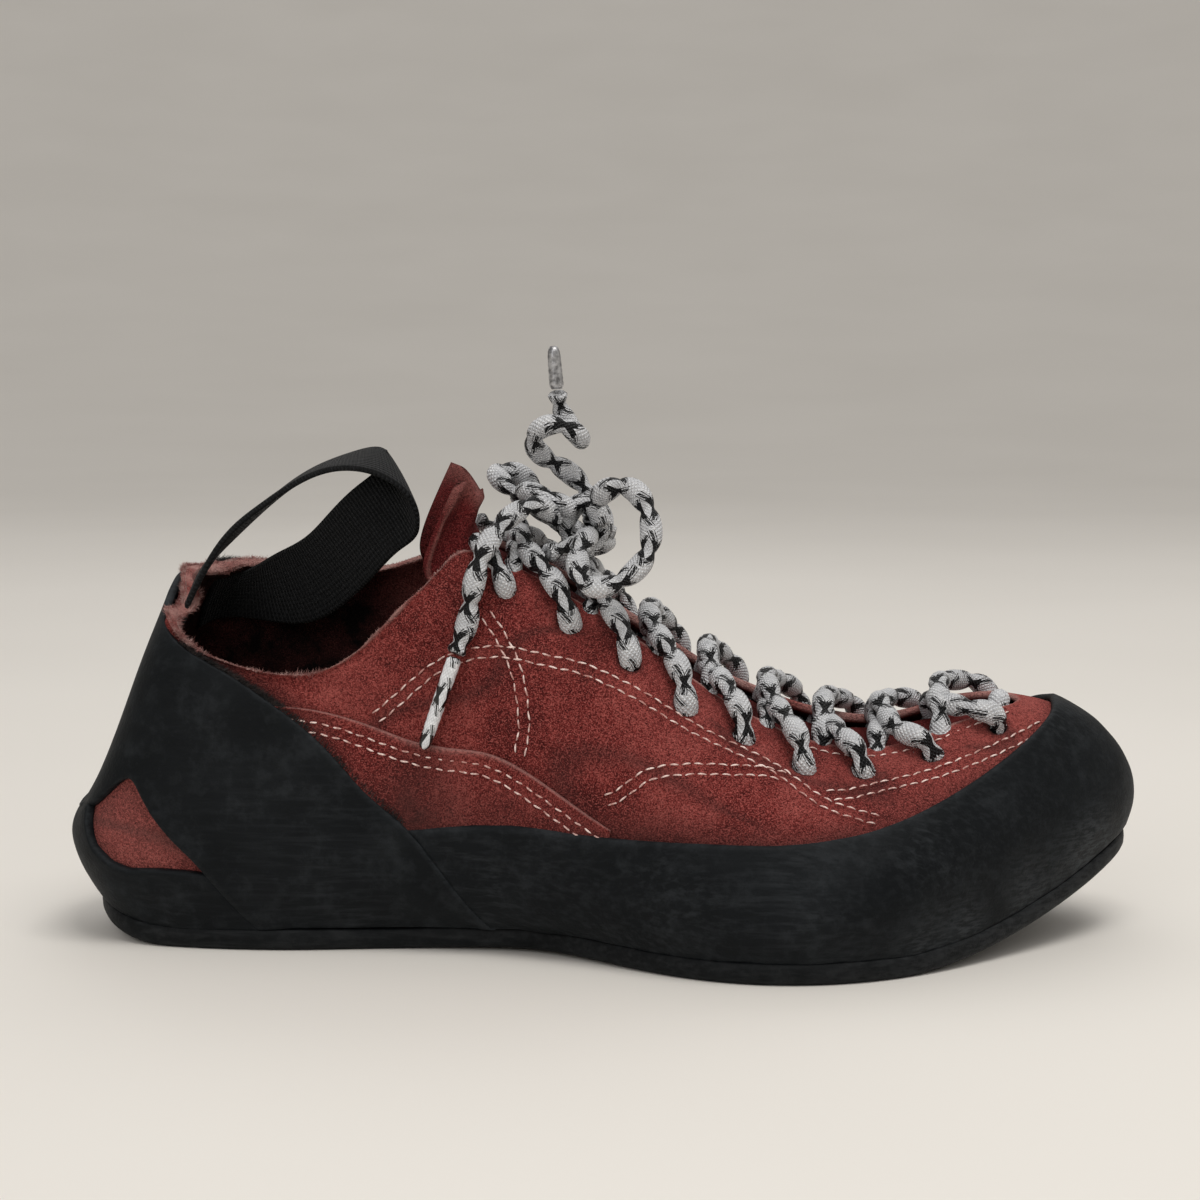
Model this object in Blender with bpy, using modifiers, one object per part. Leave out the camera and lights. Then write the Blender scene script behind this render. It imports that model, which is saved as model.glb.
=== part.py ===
"""Laced climbing shoe for the right foot.

The shoe points along +X, its outer (lateral) side is -Y, and it stands on z = 0.
Lengths are metres. Distances along the shoe are first measured from the back of the heel,
and one empty then carries every piece so that the origin is under the heel, on the floor.

The whole upper is one form. Going round it, station 0 is the back of the heel, stations 1 to 12
run up the outer side, 13 is the toe tip and 14 to 25 come back down the inner side.
Going up it, rise 0 is the edge on the sole and rise 1 is the rim of the collar and throat.
Every skin, panel, eyelet and lace is placed by its station and rise on that form.
"""

import math
from collections import namedtuple

import bmesh
import bpy
import numpy as np
from mathutils import Matrix, Vector

# Main sizes of the shoe
LENGTH = 0.272
BALL_WIDTH = 0.094
INSTEP = 0.100
HEEL_HEIGHT = 0.093

# Sole
SOLE_THICK = 0.0048
SOLE_LIP = 0.0004
SOLE_ROUND = 0.0012
TOE_SPRING = 0.0205
ARCH_LIFT = 0.0012
HEEL_LIFT = 0.0100
HEEL_FLAT = (0.11, 0.30)
BALL_FLAT = (0.60, 0.78)
SPRING_POWER = 1.8

# Skins
GAP = 0.0003
SKIN_GAP = 0.0005
WALL = 0.0022
RUBBER = 0.0020
PANEL = 0.0012
INSOLE_THICK = 0.0030
INSOLE_ROOM = 0.0012
TONGUE_THICK = 0.0030
TONGUE_CLEAR = 0.0013

# Trim. Reaches that end in stations or rise are measured on the form
EYELET_WIDTH = 0.0050
EYELET_REACH = 4
EYELET_RISE = 0.775
LACE_WIDTH = 0.0050
LACE_CLEAR = 0.0009
LACE_PASS = 0.0060
TURN_STATIONS = 0.17
TURN_RISE = 0.055
BAR_STATIONS = 0.25
CROSS_SHARE = 0.22
LOOP_WIDTH = 0.0200
LOOP_THICK = 0.0016
AGLET_WIDTH = 0.0042

# Shares of a rand's length over which its foot slides to its two ends
TOE_RAND_SLIDE = 0.12
HEEL_RAND_SLIDE = 0.20

# Where the origin lies, as a share of the length from the back of the heel
REST_ALONG = 0.18

Row = namedtuple(
    "Row",
    "name follows edge_along edge_side belly_out belly_rise rim_along rim_side rim_rise full",
)

# One row for each station. Columns along are shares of LENGTH, side of BALL_WIDTH, belly_out of
# BALL_WIDTH, and rises of the height that the row follows. A higher full is a straighter profile.
FORM = [
    Row("heel", "heel", 0.033, 0.000, 0.085, 0.270, 0.103, 0.020, 0.990, 2.20),
    Row("lateral 1", "heel", 0.055, -0.170, 0.080, 0.265, 0.110, -0.160, 0.890, 1.70),
    Row("lateral 2", "heel", 0.110, -0.245, 0.040, 0.240, 0.150, -0.250, 0.800, 1.20),
    Row("lateral 3", "heel", 0.213, -0.261, 0.035, 0.215, 0.235, -0.266, 0.750, 1.00),
    Row("lateral 4", "heel", 0.316, -0.223, 0.064, 0.205, 0.298, -0.245, 0.840, 1.00),
    Row("lateral 5", "instep", 0.397, -0.223, 0.075, 0.180, 0.357, -0.213, 0.950, 1.00),
    Row("lateral 6", "instep", 0.463, -0.261, 0.080, 0.180, 0.397, -0.160, 0.998, 1.10),
    Row("lateral 7", "instep", 0.540, -0.383, 0.040, 0.170, 0.493, -0.149, 0.870, 1.25),
    Row("lateral 8", "instep", 0.625, -0.495, 0.026, 0.160, 0.599, -0.149, 0.670, 1.30),
    Row("lateral 9", "instep", 0.710, -0.500, 0.023, 0.160, 0.691, -0.138, 0.540, 1.30),
    Row("lateral 10", "instep", 0.794, -0.388, 0.023, 0.185, 0.768, -0.106, 0.510, 1.25),
    Row("lateral 11", "instep", 0.886, -0.170, 0.023, 0.245, 0.838, -0.043, 0.565, 1.15),
    Row("lateral 12", "instep", 0.960, 0.032, 0.029, 0.315, 0.882, 0.032, 0.600, 1.10),
    Row("toe", "instep", 0.993, 0.200, 0.032, 0.350, 0.895, 0.100, 0.610, 1.10),
    Row("medial 12", "instep", 0.967, 0.351, 0.032, 0.325, 0.882, 0.160, 0.620, 1.10),
    Row("medial 11", "instep", 0.901, 0.436, 0.029, 0.270, 0.831, 0.191, 0.600, 1.05),
    Row("medial 10", "instep", 0.805, 0.447, 0.032, 0.200, 0.768, 0.191, 0.550, 1.05),
    Row("medial 9", "instep", 0.710, 0.441, 0.032, 0.180, 0.691, 0.181, 0.580, 1.10),
    Row("medial 8", "instep", 0.610, 0.388, 0.050, 0.190, 0.592, 0.181, 0.700, 1.10),
    Row("medial 7", "instep", 0.518, 0.277, 0.084, 0.200, 0.485, 0.170, 0.890, 1.05),
    Row("medial 6", "instep", 0.434, 0.213, 0.084, 0.200, 0.386, 0.170, 1.020, 1.00),
    Row("medial 5", "instep", 0.360, 0.202, 0.075, 0.200, 0.338, 0.223, 0.980, 1.00),
    Row("medial 4", "heel", 0.287, 0.218, 0.058, 0.215, 0.279, 0.255, 0.990, 1.00),
    Row("medial 3", "heel", 0.202, 0.250, 0.038, 0.225, 0.213, 0.261, 0.990, 1.00),
    Row("medial 2", "heel", 0.107, 0.229, 0.043, 0.247, 0.147, 0.213, 1.020, 1.20),
    Row("medial 1", "heel", 0.051, 0.149, 0.087, 0.269, 0.110, 0.117, 1.010, 1.70),
]
STATIONS = len(FORM)

# The rises at which a profile passes its edge, its belly, two points of its shoulder and its rim
PROFILE_RISES = np.array([0.0, 0.2, 0.43, 0.70, 1.0])
SHOULDER_TURNS = (math.pi / 6, math.pi / 3)

# Steps between the columns of a skin, in stations, and the rises of the upper's own rows
COLUMN = 1 / 3
UPPER_RISES = (0.0, 0.09, 0.18, 0.28, 0.39, 0.51, 0.64, 0.76, 0.88, 1.0)

# Sections and points of the other pieces
SOLE_SECTIONS = 38
INSOLE_SECTIONS = 26
SOLE_END_TURN = 0.10
BAND_SECTIONS = 41
PANEL_SECTIONS = 22
TONGUE_SECTIONS = 15
TONGUE_COLUMNS = 11
LOOP_SECTIONS = 32
LACE_POINTS = 96
NEAR_END_POINTS = 16
FAR_END_POINTS = 22
NEAR_BOW_POINTS = 20
FAR_BOW_POINTS = 14
AGLET_POINTS = 2
EYELET_SIDES = 6
RAND_STEPS = 6
HEEL_RAND_STEPS = 5
PANEL_STEPS = 3
KNOT_TURN_SECTIONS = 14
KNOT_SIDES = 8

Line = namedtuple("Line", "station rise")

# Toe rand: its upper edge from the outer waist round the toe to the inner waist
RAND_TOP = [
    Line(4.30, 0.302),
    Line(5.30, 0.300),
    Line(6.40, 0.310),
    Line(7.03, 0.330),
    Line(7.90, 0.380),
    Line(8.58, 0.420),
    Line(9.50, 0.480),
    Line(10.28, 0.530),
    Line(11.12, 0.600),
    Line(12.00, 0.715),
    Line(13.00, 0.800),
    Line(14.00, 0.715),
    Line(15.00, 0.600),
    Line(16.00, 0.520),
    Line(17.00, 0.450),
    Line(18.00, 0.385),
    Line(19.00, 0.330),
    Line(20.00, 0.310),
    Line(21.70, 0.302),
]
RAND_FOOT = (5.58, 20.42)

# Heel band: its front edge climbs from the waist to the collar and goes round under the rim
BAND_FRONT = [
    Line(5.33, 0.00),
    Line(5.10, 0.11),
    Line(4.70, 0.205),
    Line(4.15, 0.31),
    Line(3.70, 0.40),
    Line(3.20, 0.57),
    Line(2.75, 0.73),
    Line(2.23, 0.88),
    Line(1.55, 0.93),
    Line(0.80, 0.93),
    Line(0.00, 0.93),
]
BAND_BACK = [
    Line(2.85, 0.00),
    Line(2.58, 0.115),
    Line(2.33, 0.205),
    Line(2.12, 0.255),
    Line(1.92, 0.305),
    Line(1.72, 0.365),
    Line(1.50, 0.415),
    Line(1.22, 0.385),
    Line(0.95, 0.345),
    Line(0.50, 0.315),
    Line(0.00, 0.305),
]

# Low heel rand: it rises at the back of the heel to meet the band
HEEL_RAND_TOP = [
    Line(2.20, 0.185),
    Line(1.95, 0.180),
    Line(1.60, 0.165),
    Line(1.35, 0.175),
    Line(1.08, 0.215),
    Line(0.90, 0.300),
    Line(0.50, 0.290),
    Line(0.00, 0.282),
]
HEEL_RAND_FOOT = 2.70

# Side panel: a second layer of suede between the band, the rand and its own stitched edge
PANEL_TOP = [
    Line(3.02, 0.665),
    Line(3.55, 0.590),
    Line(4.10, 0.480),
    Line(4.50, 0.430),
    Line(5.00, 0.402),
    Line(5.93, 0.378),
    Line(6.55, 0.355),
    Line(6.92, 0.338),
]
PANEL_LOW = [
    Line(2.98, 0.655),
    Line(3.26, 0.565),
    Line(3.75, 0.405),
    Line(4.19, 0.326),
    Line(4.90, 0.312),
    Line(5.90, 0.314),
    Line(6.60, 0.328),
    Line(6.90, 0.334),
]

TongueRow = namedtuple(
    "TongueRow",
    "side_station side_rise front_station front_rise crown side_up front_up",
)

# Tongue, from the toe end to its free top. The crown and both ups are shares of INSTEP, along TONGUE_UP
TONGUE_UP = (0.4, 0.0, 0.9)
TONGUE = [
    TongueRow(11.90, 0.80, 12.20, 0.93, 0.000, 0.00, 0.00),
    TongueRow(11.20, 0.82, 11.40, 0.99, 0.000, 0.00, 0.00),
    TongueRow(10.30, 0.82, 10.40, 1.00, 0.005, 0.00, 0.00),
    TongueRow(9.40, 0.80, 9.40, 1.00, 0.010, 0.00, 0.00),
    TongueRow(8.50, 0.78, 8.50, 1.00, 0.015, 0.00, 0.00),
    TongueRow(7.70, 0.76, 7.70, 1.00, 0.015, 0.00, 0.00),
    TongueRow(7.00, 0.76, 6.90, 1.00, 0.020, 0.00, 0.00),
    TongueRow(6.20, 0.80, 6.35, 1.00, 0.028, 0.00, 0.00),
    TongueRow(5.10, 0.87, 6.05, 1.04, 0.045, 0.00, 0.00),
    TongueRow(4.75, 1.05, 5.95, 1.12, 0.035, 0.04, 0.04),
    TongueRow(4.75, 1.07, 5.95, 1.14, 0.020, 0.26, 0.12),
]

EYELET_STATIONS = (6.08, 6.75, 7.30, 7.80, 8.35, 8.95, 9.62, 10.43, 11.35)

LoopPoint = namedtuple("LoopPoint", "along side rise across_along across_side across_rise")

# Pull loop, forward over the collar and back, between its two seats on the inner wall of the heel.
# Places are metres from the back of the heel, and across is the direction of the web's width.
PULL_LOOP = [
    LoopPoint(0.0400, 0.0000, 0.1005, -0.10, 1.00, 0.00),
    LoopPoint(0.0500, 0.0020, 0.1100, -0.10, 1.00, 0.00),
    LoopPoint(0.0620, 0.0035, 0.1185, -0.10, 1.00, 0.05),
    LoopPoint(0.0720, 0.0040, 0.1218, -0.10, 1.00, 0.15),
    LoopPoint(0.0805, 0.0035, 0.1213, -0.25, 0.90, 0.35),
    LoopPoint(0.0850, 0.0025, 0.1175, -0.45, 0.70, 0.55),
    LoopPoint(0.0852, 0.0020, 0.1125, -0.55, 0.35, 0.75),
    LoopPoint(0.0795, 0.0025, 0.1070, -0.58, 0.10, 0.80),
    LoopPoint(0.0720, 0.0045, 0.1000, -0.58, 0.00, 0.80),
    LoopPoint(0.0650, 0.0080, 0.0935, -0.55, 0.00, 0.80),
    LoopPoint(0.0540, 0.0120, 0.0875, -0.35, 0.00, 0.90),
]
LOOP_SEAT_RISES = (0.80, 0.94)
LOOP_END_STATIONS = (-1.75, -1.45)
LOOP_END_RISE = 0.76

Place = namedtuple("Place", "along side rise")

# Free lace: routes chosen by hand, in metres from the back of the heel
KNOT = Place(0.1330, -0.0011, 0.1065)

# The knot is one turn of lace drawn tight. Its radii are shares of the lace's width
KNOT_TURN = 0.95
KNOT_FULL = 0.62
KNOT_TILT = (math.radians(70), 0, math.radians(25))
NEAR_END = [
    Place(0.1264, -0.0069, 0.1068),
    Place(0.1215, -0.0130, 0.1115),
    Place(0.1160, -0.0180, 0.1090),
    Place(0.1110, -0.0250, 0.1025),
    Place(0.1080, -0.0277, 0.0935),
    Place(0.1060, -0.0272, 0.0830),
    Place(0.1035, -0.0292, 0.0760),
]
NEAR_AGLET = [Place(0.1033, -0.0294, 0.0750), Place(0.0955, -0.0305, 0.0525)]
FAR_END = [
    Place(0.1337, 0.0059, 0.1057),
    Place(0.1330, 0.0120, 0.1120),
    Place(0.1280, 0.0130, 0.1180),
    Place(0.1220, 0.0110, 0.1220),
    Place(0.1190, 0.0060, 0.1270),
    Place(0.1240, 0.0020, 0.1310),
    Place(0.1300, 0.0040, 0.1290),
    Place(0.1310, 0.0090, 0.1270),
    Place(0.1270, 0.0110, 0.1320),
    Place(0.1250, 0.0090, 0.1390),
]
FAR_AGLET = [Place(0.1249, 0.0091, 0.1400), Place(0.1240, 0.0090, 0.1510)]
NEAR_BOW = [
    Place(0.1349, -0.0069, 0.1042),
    Place(0.1335, -0.0150, 0.1015),
    Place(0.1330, -0.0215, 0.0965),
    Place(0.1370, -0.0265, 0.0925),
    Place(0.1440, -0.0265, 0.0940),
    Place(0.1500, -0.0235, 0.1000),
    Place(0.1505, -0.0200, 0.1090),
    Place(0.1455, -0.0165, 0.1160),
    Place(0.1390, -0.0125, 0.1150),
    Place(0.1365, -0.0085, 0.1120),
]
FAR_BOW = [
    Place(0.1274, 0.0026, 0.1054),
    Place(0.1200, 0.0060, 0.1100),
    Place(0.1120, 0.0080, 0.1150),
    Place(0.1090, 0.0120, 0.1180),
    Place(0.1130, 0.0160, 0.1180),
    Place(0.1200, 0.0170, 0.1120),
    Place(0.1280, 0.0120, 0.1040),
]


def spline_weights(knots, at):
    """Weights, a row for each place in at, that read a natural cubic spline through values at the
    knots. Past either end it runs straight on."""
    knots = np.asarray(knots, float)
    at = np.asarray(at, float)
    count = len(knots)
    step = np.diff(knots)
    system = np.eye(count)
    bends = np.zeros((count, count))
    for i in range(1, count - 1):
        before, after = step[i - 1], step[i]
        system[i, i - 1 : i + 2] = before, 2 * (before + after), after
        bends[i, i - 1 : i + 2] = 6 / before, -6 / before - 6 / after, 6 / after
    curving = np.linalg.solve(system, bends)
    clamped = np.clip(at, knots[0], knots[-1])
    i = np.clip(np.searchsorted(knots, clamped, side="right") - 1, 0, count - 2)
    width = step[i]
    low = (knots[i + 1] - clamped) / width
    high = (clamped - knots[i]) / width
    rows = np.arange(len(at))
    weights = np.zeros((len(at), count))
    weights[rows, i] += low
    weights[rows, i + 1] += high
    weights += ((low**3 - low) * width**2 / 6)[:, None] * curving[i]
    weights += ((high**3 - high) * width**2 / 6)[:, None] * curving[i + 1]
    start_slope = -step[0] / 3 * curving[0] - step[0] / 6 * curving[1]
    start_slope[:2] += np.array([-1.0, 1.0]) / step[0]
    end_slope = step[-1] / 6 * curving[-2] + step[-1] / 3 * curving[-1]
    end_slope[-2:] += np.array([-1.0, 1.0]) / step[-1]
    weights += np.minimum(at - knots[0], 0)[:, None] * start_slope
    weights += np.maximum(at - knots[-1], 0)[:, None] * end_slope
    return weights


def ring_weights(count, at):
    """The same for a closed ring of values at whole numbers."""
    reach = 6
    wrapped = np.arange(-reach, count + reach)
    open_weights = spline_weights(wrapped, np.mod(at, count))
    weights = np.zeros((len(open_weights), count))
    for column, station in enumerate(wrapped):
        weights[:, station % count] += open_weights[:, column]
    return weights


def smooth_line(points, count):
    """Places along one smooth curve through points, spaced evenly by the route's own steps."""
    points = np.asarray(points, float)
    steps = np.linalg.norm(np.diff(points[:, :3], axis=0), axis=1)
    knots = np.concatenate([[0.0], np.cumsum(steps)])
    return spline_weights(knots, np.linspace(0, knots[-1], count)) @ points


def sole_rise(along):
    """Height of the sole's underside: flat under the heel and the ball, lifted between and beyond."""
    share = np.asarray(along) / LENGTH
    toe = np.clip((share - BALL_FLAT[1]) / (1 - BALL_FLAT[1]), 0, None) ** SPRING_POWER
    heel = np.clip(1 - share / HEEL_FLAT[0], 0, 1) ** 2
    arch = np.clip((share - HEEL_FLAT[1]) / (BALL_FLAT[0] - HEEL_FLAT[1]), 0, 1)
    return TOE_SPRING * toe + HEEL_LIFT * heel + ARCH_LIFT * np.sin(np.pi * arch) ** 2


def sole_top(along):
    return sole_rise(along) + SOLE_THICK


def form_points():
    """The form's own points: for each station its edge, belly, shoulder and rim."""
    rows = []
    for i, row in enumerate(FORM):
        tall = HEEL_HEIGHT if row.follows == "heel" else INSTEP
        before, after = FORM[i - 1], FORM[(i + 1) % STATIONS]
        along = (after.edge_along - before.edge_along) * LENGTH
        side = (after.edge_side - before.edge_side) * BALL_WIDTH
        outward = np.array([side, -along]) / math.hypot(along, side)
        edge = np.array([row.edge_along * LENGTH, row.edge_side * BALL_WIDTH])
        belly = np.append(edge + outward * row.belly_out * BALL_WIDTH, row.belly_rise * tall)
        rim = np.array([row.rim_along * LENGTH, row.rim_side * BALL_WIDTH, row.rim_rise * tall])
        points = [np.append(edge, sole_top(edge[0]) + GAP), belly]
        for turn in SHOULDER_TURNS:
            over = math.cos(turn) ** row.full
            up = math.sin(turn) ** row.full
            shoulder = rim + (belly - rim) * over
            shoulder[2] = belly[2] + (rim[2] - belly[2]) * up
            points.append(shoulder)
        rows.append(points + [rim])
    return np.array(rows)


FORM_POINTS = form_points()


def form(station, rise, lift=0.0):
    """Points of the form, moved out along its normal by lift."""
    station, rise, lift = np.broadcast_arrays(
        np.asarray(station, float), np.asarray(rise, float), np.asarray(lift, float)
    )
    shape = station.shape
    station, rise, lift = station.ravel(), rise.ravel(), lift.ravel()

    def read(at_station, at_rise):
        round_weights = ring_weights(STATIONS, at_station)
        up_weights = spline_weights(PROFILE_RISES, at_rise)
        return np.einsum("ki,ijc,kj->kc", round_weights, FORM_POINTS, up_weights)

    small = 1e-3
    around = read(station + small, rise) - read(station - small, rise)
    upward = read(station, rise + small) - read(station, rise - small)
    normal = np.cross(around, upward)
    normal /= np.linalg.norm(normal, axis=1)[:, None]
    return (read(station, rise) + normal * lift[:, None]).reshape(shape + (3,))


def foot_rise(station, lift):
    """The rise at which a skin of this lift clears the sole's top by GAP."""
    rises = np.linspace(-0.05, 0.25, 61)
    columns, steps = np.meshgrid(station, rises, indexing="ij")
    points = form(columns, steps, lift)
    above = points[..., 2] - sole_top(points[..., 0]) - GAP
    found = []
    for clear in above:
        found.append(np.interp(0.0, clear, rises))
    return np.array(found)


def line_rise(line, station):
    """The rise of a line of (station, rise) rows at each station."""
    stations, rises = np.array(line).T
    return spline_weights(stations, station) @ rises


def columns_between(first, last):
    """Stations from first to last, on the form's own columns but for the two ends."""
    inner = np.arange(math.floor(first / COLUMN) + 1, math.ceil(last / COLUMN)) * COLUMN
    inner = inner[(inner > first + COLUMN / 3) & (inner < last - COLUMN / 3)]
    return np.concatenate([[first], inner, [last]])


def material(name, color, roughness, metallic=0.0):
    made = bpy.data.materials.new(name)
    made.use_nodes = True
    shader = made.node_tree.nodes["Principled BSDF"]
    shader.inputs["Base Color"].default_value = (*color, 1)
    shader.inputs["Roughness"].default_value = roughness
    shader.inputs["Metallic"].default_value = metallic
    return made


def add_piece(name, data, finish):
    """Puts a mesh or curve in the shoe as one named piece, carried by the shoe's empty."""
    piece = bpy.data.objects.new(name, data)
    data.materials.append(finish)
    SHOE.objects.link(piece)
    piece.parent = CARRIER
    return piece


def mesh_from(name, points, faces):
    mesh = bpy.data.meshes.new(name)
    mesh.from_pydata([tuple(p) for p in points], [], faces)
    mesh.validate()
    mesh.shade_smooth()
    return mesh


def sheet_mesh(name, grid, closed=False):
    """An open surface through a grid of points, or a ring of them where closed."""
    columns, rows = grid.shape[:2]
    faces = []
    for i in range(columns if closed else columns - 1):
        following = (i + 1) % columns
        for j in range(rows - 1):
            a, b = i * rows + j, following * rows + j
            faces.append((a, b, b + 1, a + 1))
    return mesh_from(name, grid.reshape(-1, 3), faces)


def thicken(piece, thickness, outward):
    wall = piece.modifiers.new("wall", "SOLIDIFY")
    wall.thickness = thickness
    wall.offset = 1 if outward else -1


def skin(name, low, high, finish, thickness, steps):
    """A skin on the form between two lines of equal length, given as arrays of (station, rise)."""
    share = np.linspace(0, 1, steps + 1)[None, :, None]
    places = low[:, None, :] * (1 - share) + high[:, None, :] * share
    grid = form(places[..., 0], places[..., 1], SKIN_GAP)
    piece = add_piece(name, sheet_mesh(name, grid), finish)
    thicken(piece, thickness, True)
    return piece


def mirrored(line):
    """A line that runs from the outer side to station 0, carried on down the inner side."""
    other = np.array([(STATIONS - station, rise) for station, rise in line[:-1]])
    other[:, 0] -= STATIONS
    return np.concatenate([np.array(line), other[::-1]])


def tube(name, points, width, finish, sides=2):
    """A round tube with filled caps along points."""
    curve = bpy.data.curves.new(name, "CURVE")
    curve.dimensions = "3D"
    curve.bevel_depth = width / 2
    curve.bevel_resolution = sides
    curve.use_fill_caps = True
    spline = curve.splines.new("POLY")
    spline.points.add(len(points) - 1)
    for point, place in zip(spline.points, points):
        point.co = (*place, 1)
    return add_piece(name, curve, finish)


def plan_outline(lift):
    """The sole edge of the form moved out by lift in plan, as a dense ring of (along, side)."""
    station = np.arange(0, STATIONS, COLUMN / 6)
    ring = form(station, 0.0)[:, :2]
    ahead = np.roll(ring, -1, axis=0) - np.roll(ring, 1, axis=0)
    outward = np.stack([ahead[:, 1], -ahead[:, 0]], axis=1)
    outward /= np.linalg.norm(outward, axis=1)[:, None]
    return ring + outward * lift


def sole_rows(lift, sections):
    """Stations along the shoe with the outer and inner half widths of a plan outline."""
    ring = plan_outline(lift)
    heel, toe = ring[:, 0].argmin(), ring[:, 0].argmax()
    outer = ring[heel : toe + 1] if heel < toe else np.concatenate([ring[heel:], ring[: toe + 1]])
    inner = np.concatenate([ring[toe:], ring[: heel + 1]]) if heel < toe else ring[toe : heel + 1]
    inner = inner[::-1]
    turn = np.linspace(SOLE_END_TURN, math.pi - SOLE_END_TURN, sections)
    low, high = ring[heel, 0], ring[toe, 0]
    along = low + (high - low) * (1 - np.cos(turn)) / 2
    outer_side = np.interp(along, outer[:, 0], outer[:, 1])
    inner_side = np.interp(along, inner[:, 0], inner[:, 1])
    return along, outer_side, inner_side


def plate_mesh(name, rings, sections):
    """A plate lofted along the shoe through rings of (lift in plan, height above the underside),
    listed from its top to its bottom."""
    points = []
    for lift, height in rings:
        along, outer, inner = sole_rows(lift, sections)
        rise = sole_rise(along) + height
        points.append((np.stack([along, outer, rise], 1), np.stack([along, inner, rise], 1)))
    around = [outer for outer, _ in points] + [inner for _, inner in reversed(points)]
    grid = np.stack(around, axis=1)
    per = grid.shape[1]
    faces = []
    for i in range(sections - 1):
        for j in range(per):
            a, b = i * per + j, i * per + (j + 1) % per
            faces.append((a, b, b + per, a + per))
    faces.append(tuple(range(per))[::-1])
    last = (sections - 1) * per
    faces.append(tuple(range(last, last + per)))
    return mesh_from(name, grid.reshape(-1, 3), faces)


def make_sole():
    reach = SKIN_GAP + RUBBER + SOLE_LIP
    rings = [
        (reach, SOLE_THICK),
        (reach, SOLE_ROUND),
        (reach - SOLE_ROUND, 0.0),
    ]
    add_piece("outsole", plate_mesh("outsole", rings, SOLE_SECTIONS), SOLE_RUBBER)
    room = -(WALL + INSOLE_ROOM)
    low = SOLE_THICK + GAP
    rings = [(room, low + INSOLE_THICK), (room, low)]
    add_piece("insole", plate_mesh("insole", rings, INSOLE_SECTIONS), LINING)


def eyelet_cutter():
    """One mesh of short rods, square to the form, at every eyelet of both sides."""
    rods = bmesh.new()
    reach = EYELET_REACH * WALL
    for station in EYELET_STATIONS + tuple(STATIONS - s for s in EYELET_STATIONS):
        centre = form(station, EYELET_RISE)
        outward = Vector(form(station, EYELET_RISE, 1.0) - centre)
        turned = outward.to_track_quat("Z", "Y").to_matrix().to_4x4()
        bmesh.ops.create_cone(
            rods,
            cap_ends=True,
            segments=EYELET_SIDES,
            radius1=EYELET_WIDTH / 2,
            radius2=EYELET_WIDTH / 2,
            depth=reach,
            matrix=Matrix.Translation(Vector(centre)) @ turned,
        )
    mesh = bpy.data.meshes.new("eyelet_cutter")
    rods.to_mesh(mesh)
    rods.free()
    cutter = bpy.data.objects.new("eyelet_cutter", mesh)
    CUTTERS.objects.link(cutter)
    cutter.parent = CARRIER
    cutter.hide_render = True
    cutter.display_type = "WIRE"
    return cutter


def make_upper():
    station = np.arange(0, STATIONS, COLUMN)
    columns, steps = np.meshgrid(station, UPPER_RISES, indexing="ij")
    upper = add_piece("upper", sheet_mesh("upper", form(columns, steps), closed=True), SUEDE)
    thicken(upper, WALL, False)
    cut = upper.modifiers.new("eyelets", "BOOLEAN")
    cut.operation = "DIFFERENCE"
    cut.solver = "EXACT"
    cut.object = eyelet_cutter()


def tongue_section(row):
    """Points across the tongue from its outer edge, under both flaps, to its inner edge."""
    lift = -(WALL + TONGUE_CLEAR)

    def side(flip):
        stations = np.array([row.side_station, row.front_station])
        stations = np.array([stations[0], stations.mean(), stations[1]])
        if flip:
            stations = STATIONS - stations
        rises = np.array([row.side_rise, (row.side_rise + row.front_rise) / 2, row.front_rise])
        ups = np.array([row.side_up, (row.side_up + row.front_up) / 2, row.front_up])
        return form(stations, rises, lift) + np.outer(ups, upward)

    upward = np.array(TONGUE_UP) * INSTEP
    outer, inner = side(False), side(True)
    crown = (outer[-1] + inner[-1]) / 2 + upward * row.crown
    return np.concatenate([outer, [crown], inner[::-1]])


def make_tongue():
    sections = np.array([tongue_section(row) for row in TONGUE])
    rows, columns = sections.shape[:2]
    across = spline_weights(np.arange(columns), np.linspace(0, columns - 1, TONGUE_COLUMNS))
    along = spline_weights(np.arange(rows), np.linspace(0, rows - 1, TONGUE_SECTIONS))
    grid = np.einsum("ri,ijc,aj->rac", along, sections, across)
    tongue = add_piece("tongue", sheet_mesh("tongue", grid[::-1]), SUEDE_SMOOTH)
    thicken(tongue, TONGUE_THICK, False)


def foot_line(station, ends, fade):
    """The foot of a rand below these stations, with its two ends slid to other stations."""
    share = (station - station[0]) / (station[-1] - station[0])
    foot = station + (ends[0] - station[0]) * np.clip(1 - share / fade, 0, 1)
    foot = foot + (ends[1] - station[-1]) * np.clip(1 - (1 - share) / fade, 0, 1)
    return np.stack([foot, foot_rise(foot, SKIN_GAP + RUBBER)], 1)


def make_toe_rand():
    station = columns_between(RAND_TOP[0].station, RAND_TOP[-1].station)
    high = np.stack([station, line_rise(RAND_TOP, station)], 1)
    low = foot_line(station, RAND_FOOT, TOE_RAND_SLIDE)
    skin("toe_rand", low, high, RUBBER_BLACK, RUBBER, RAND_STEPS)


def make_heel_band():
    front, back = mirrored(BAND_FRONT), mirrored(BAND_BACK)
    knots = np.linspace(0, 1, len(front))
    weights = spline_weights(knots, np.linspace(0, 1, BAND_SECTIONS))
    high, low = weights @ front, weights @ back
    for line in (high, low):
        line[:, 1] = np.maximum(line[:, 1], foot_rise(line[:, 0], SKIN_GAP + RUBBER))
    skin("heel_band", low[::-1], high[::-1], RUBBER_BLACK, RUBBER, RAND_STEPS)


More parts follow.
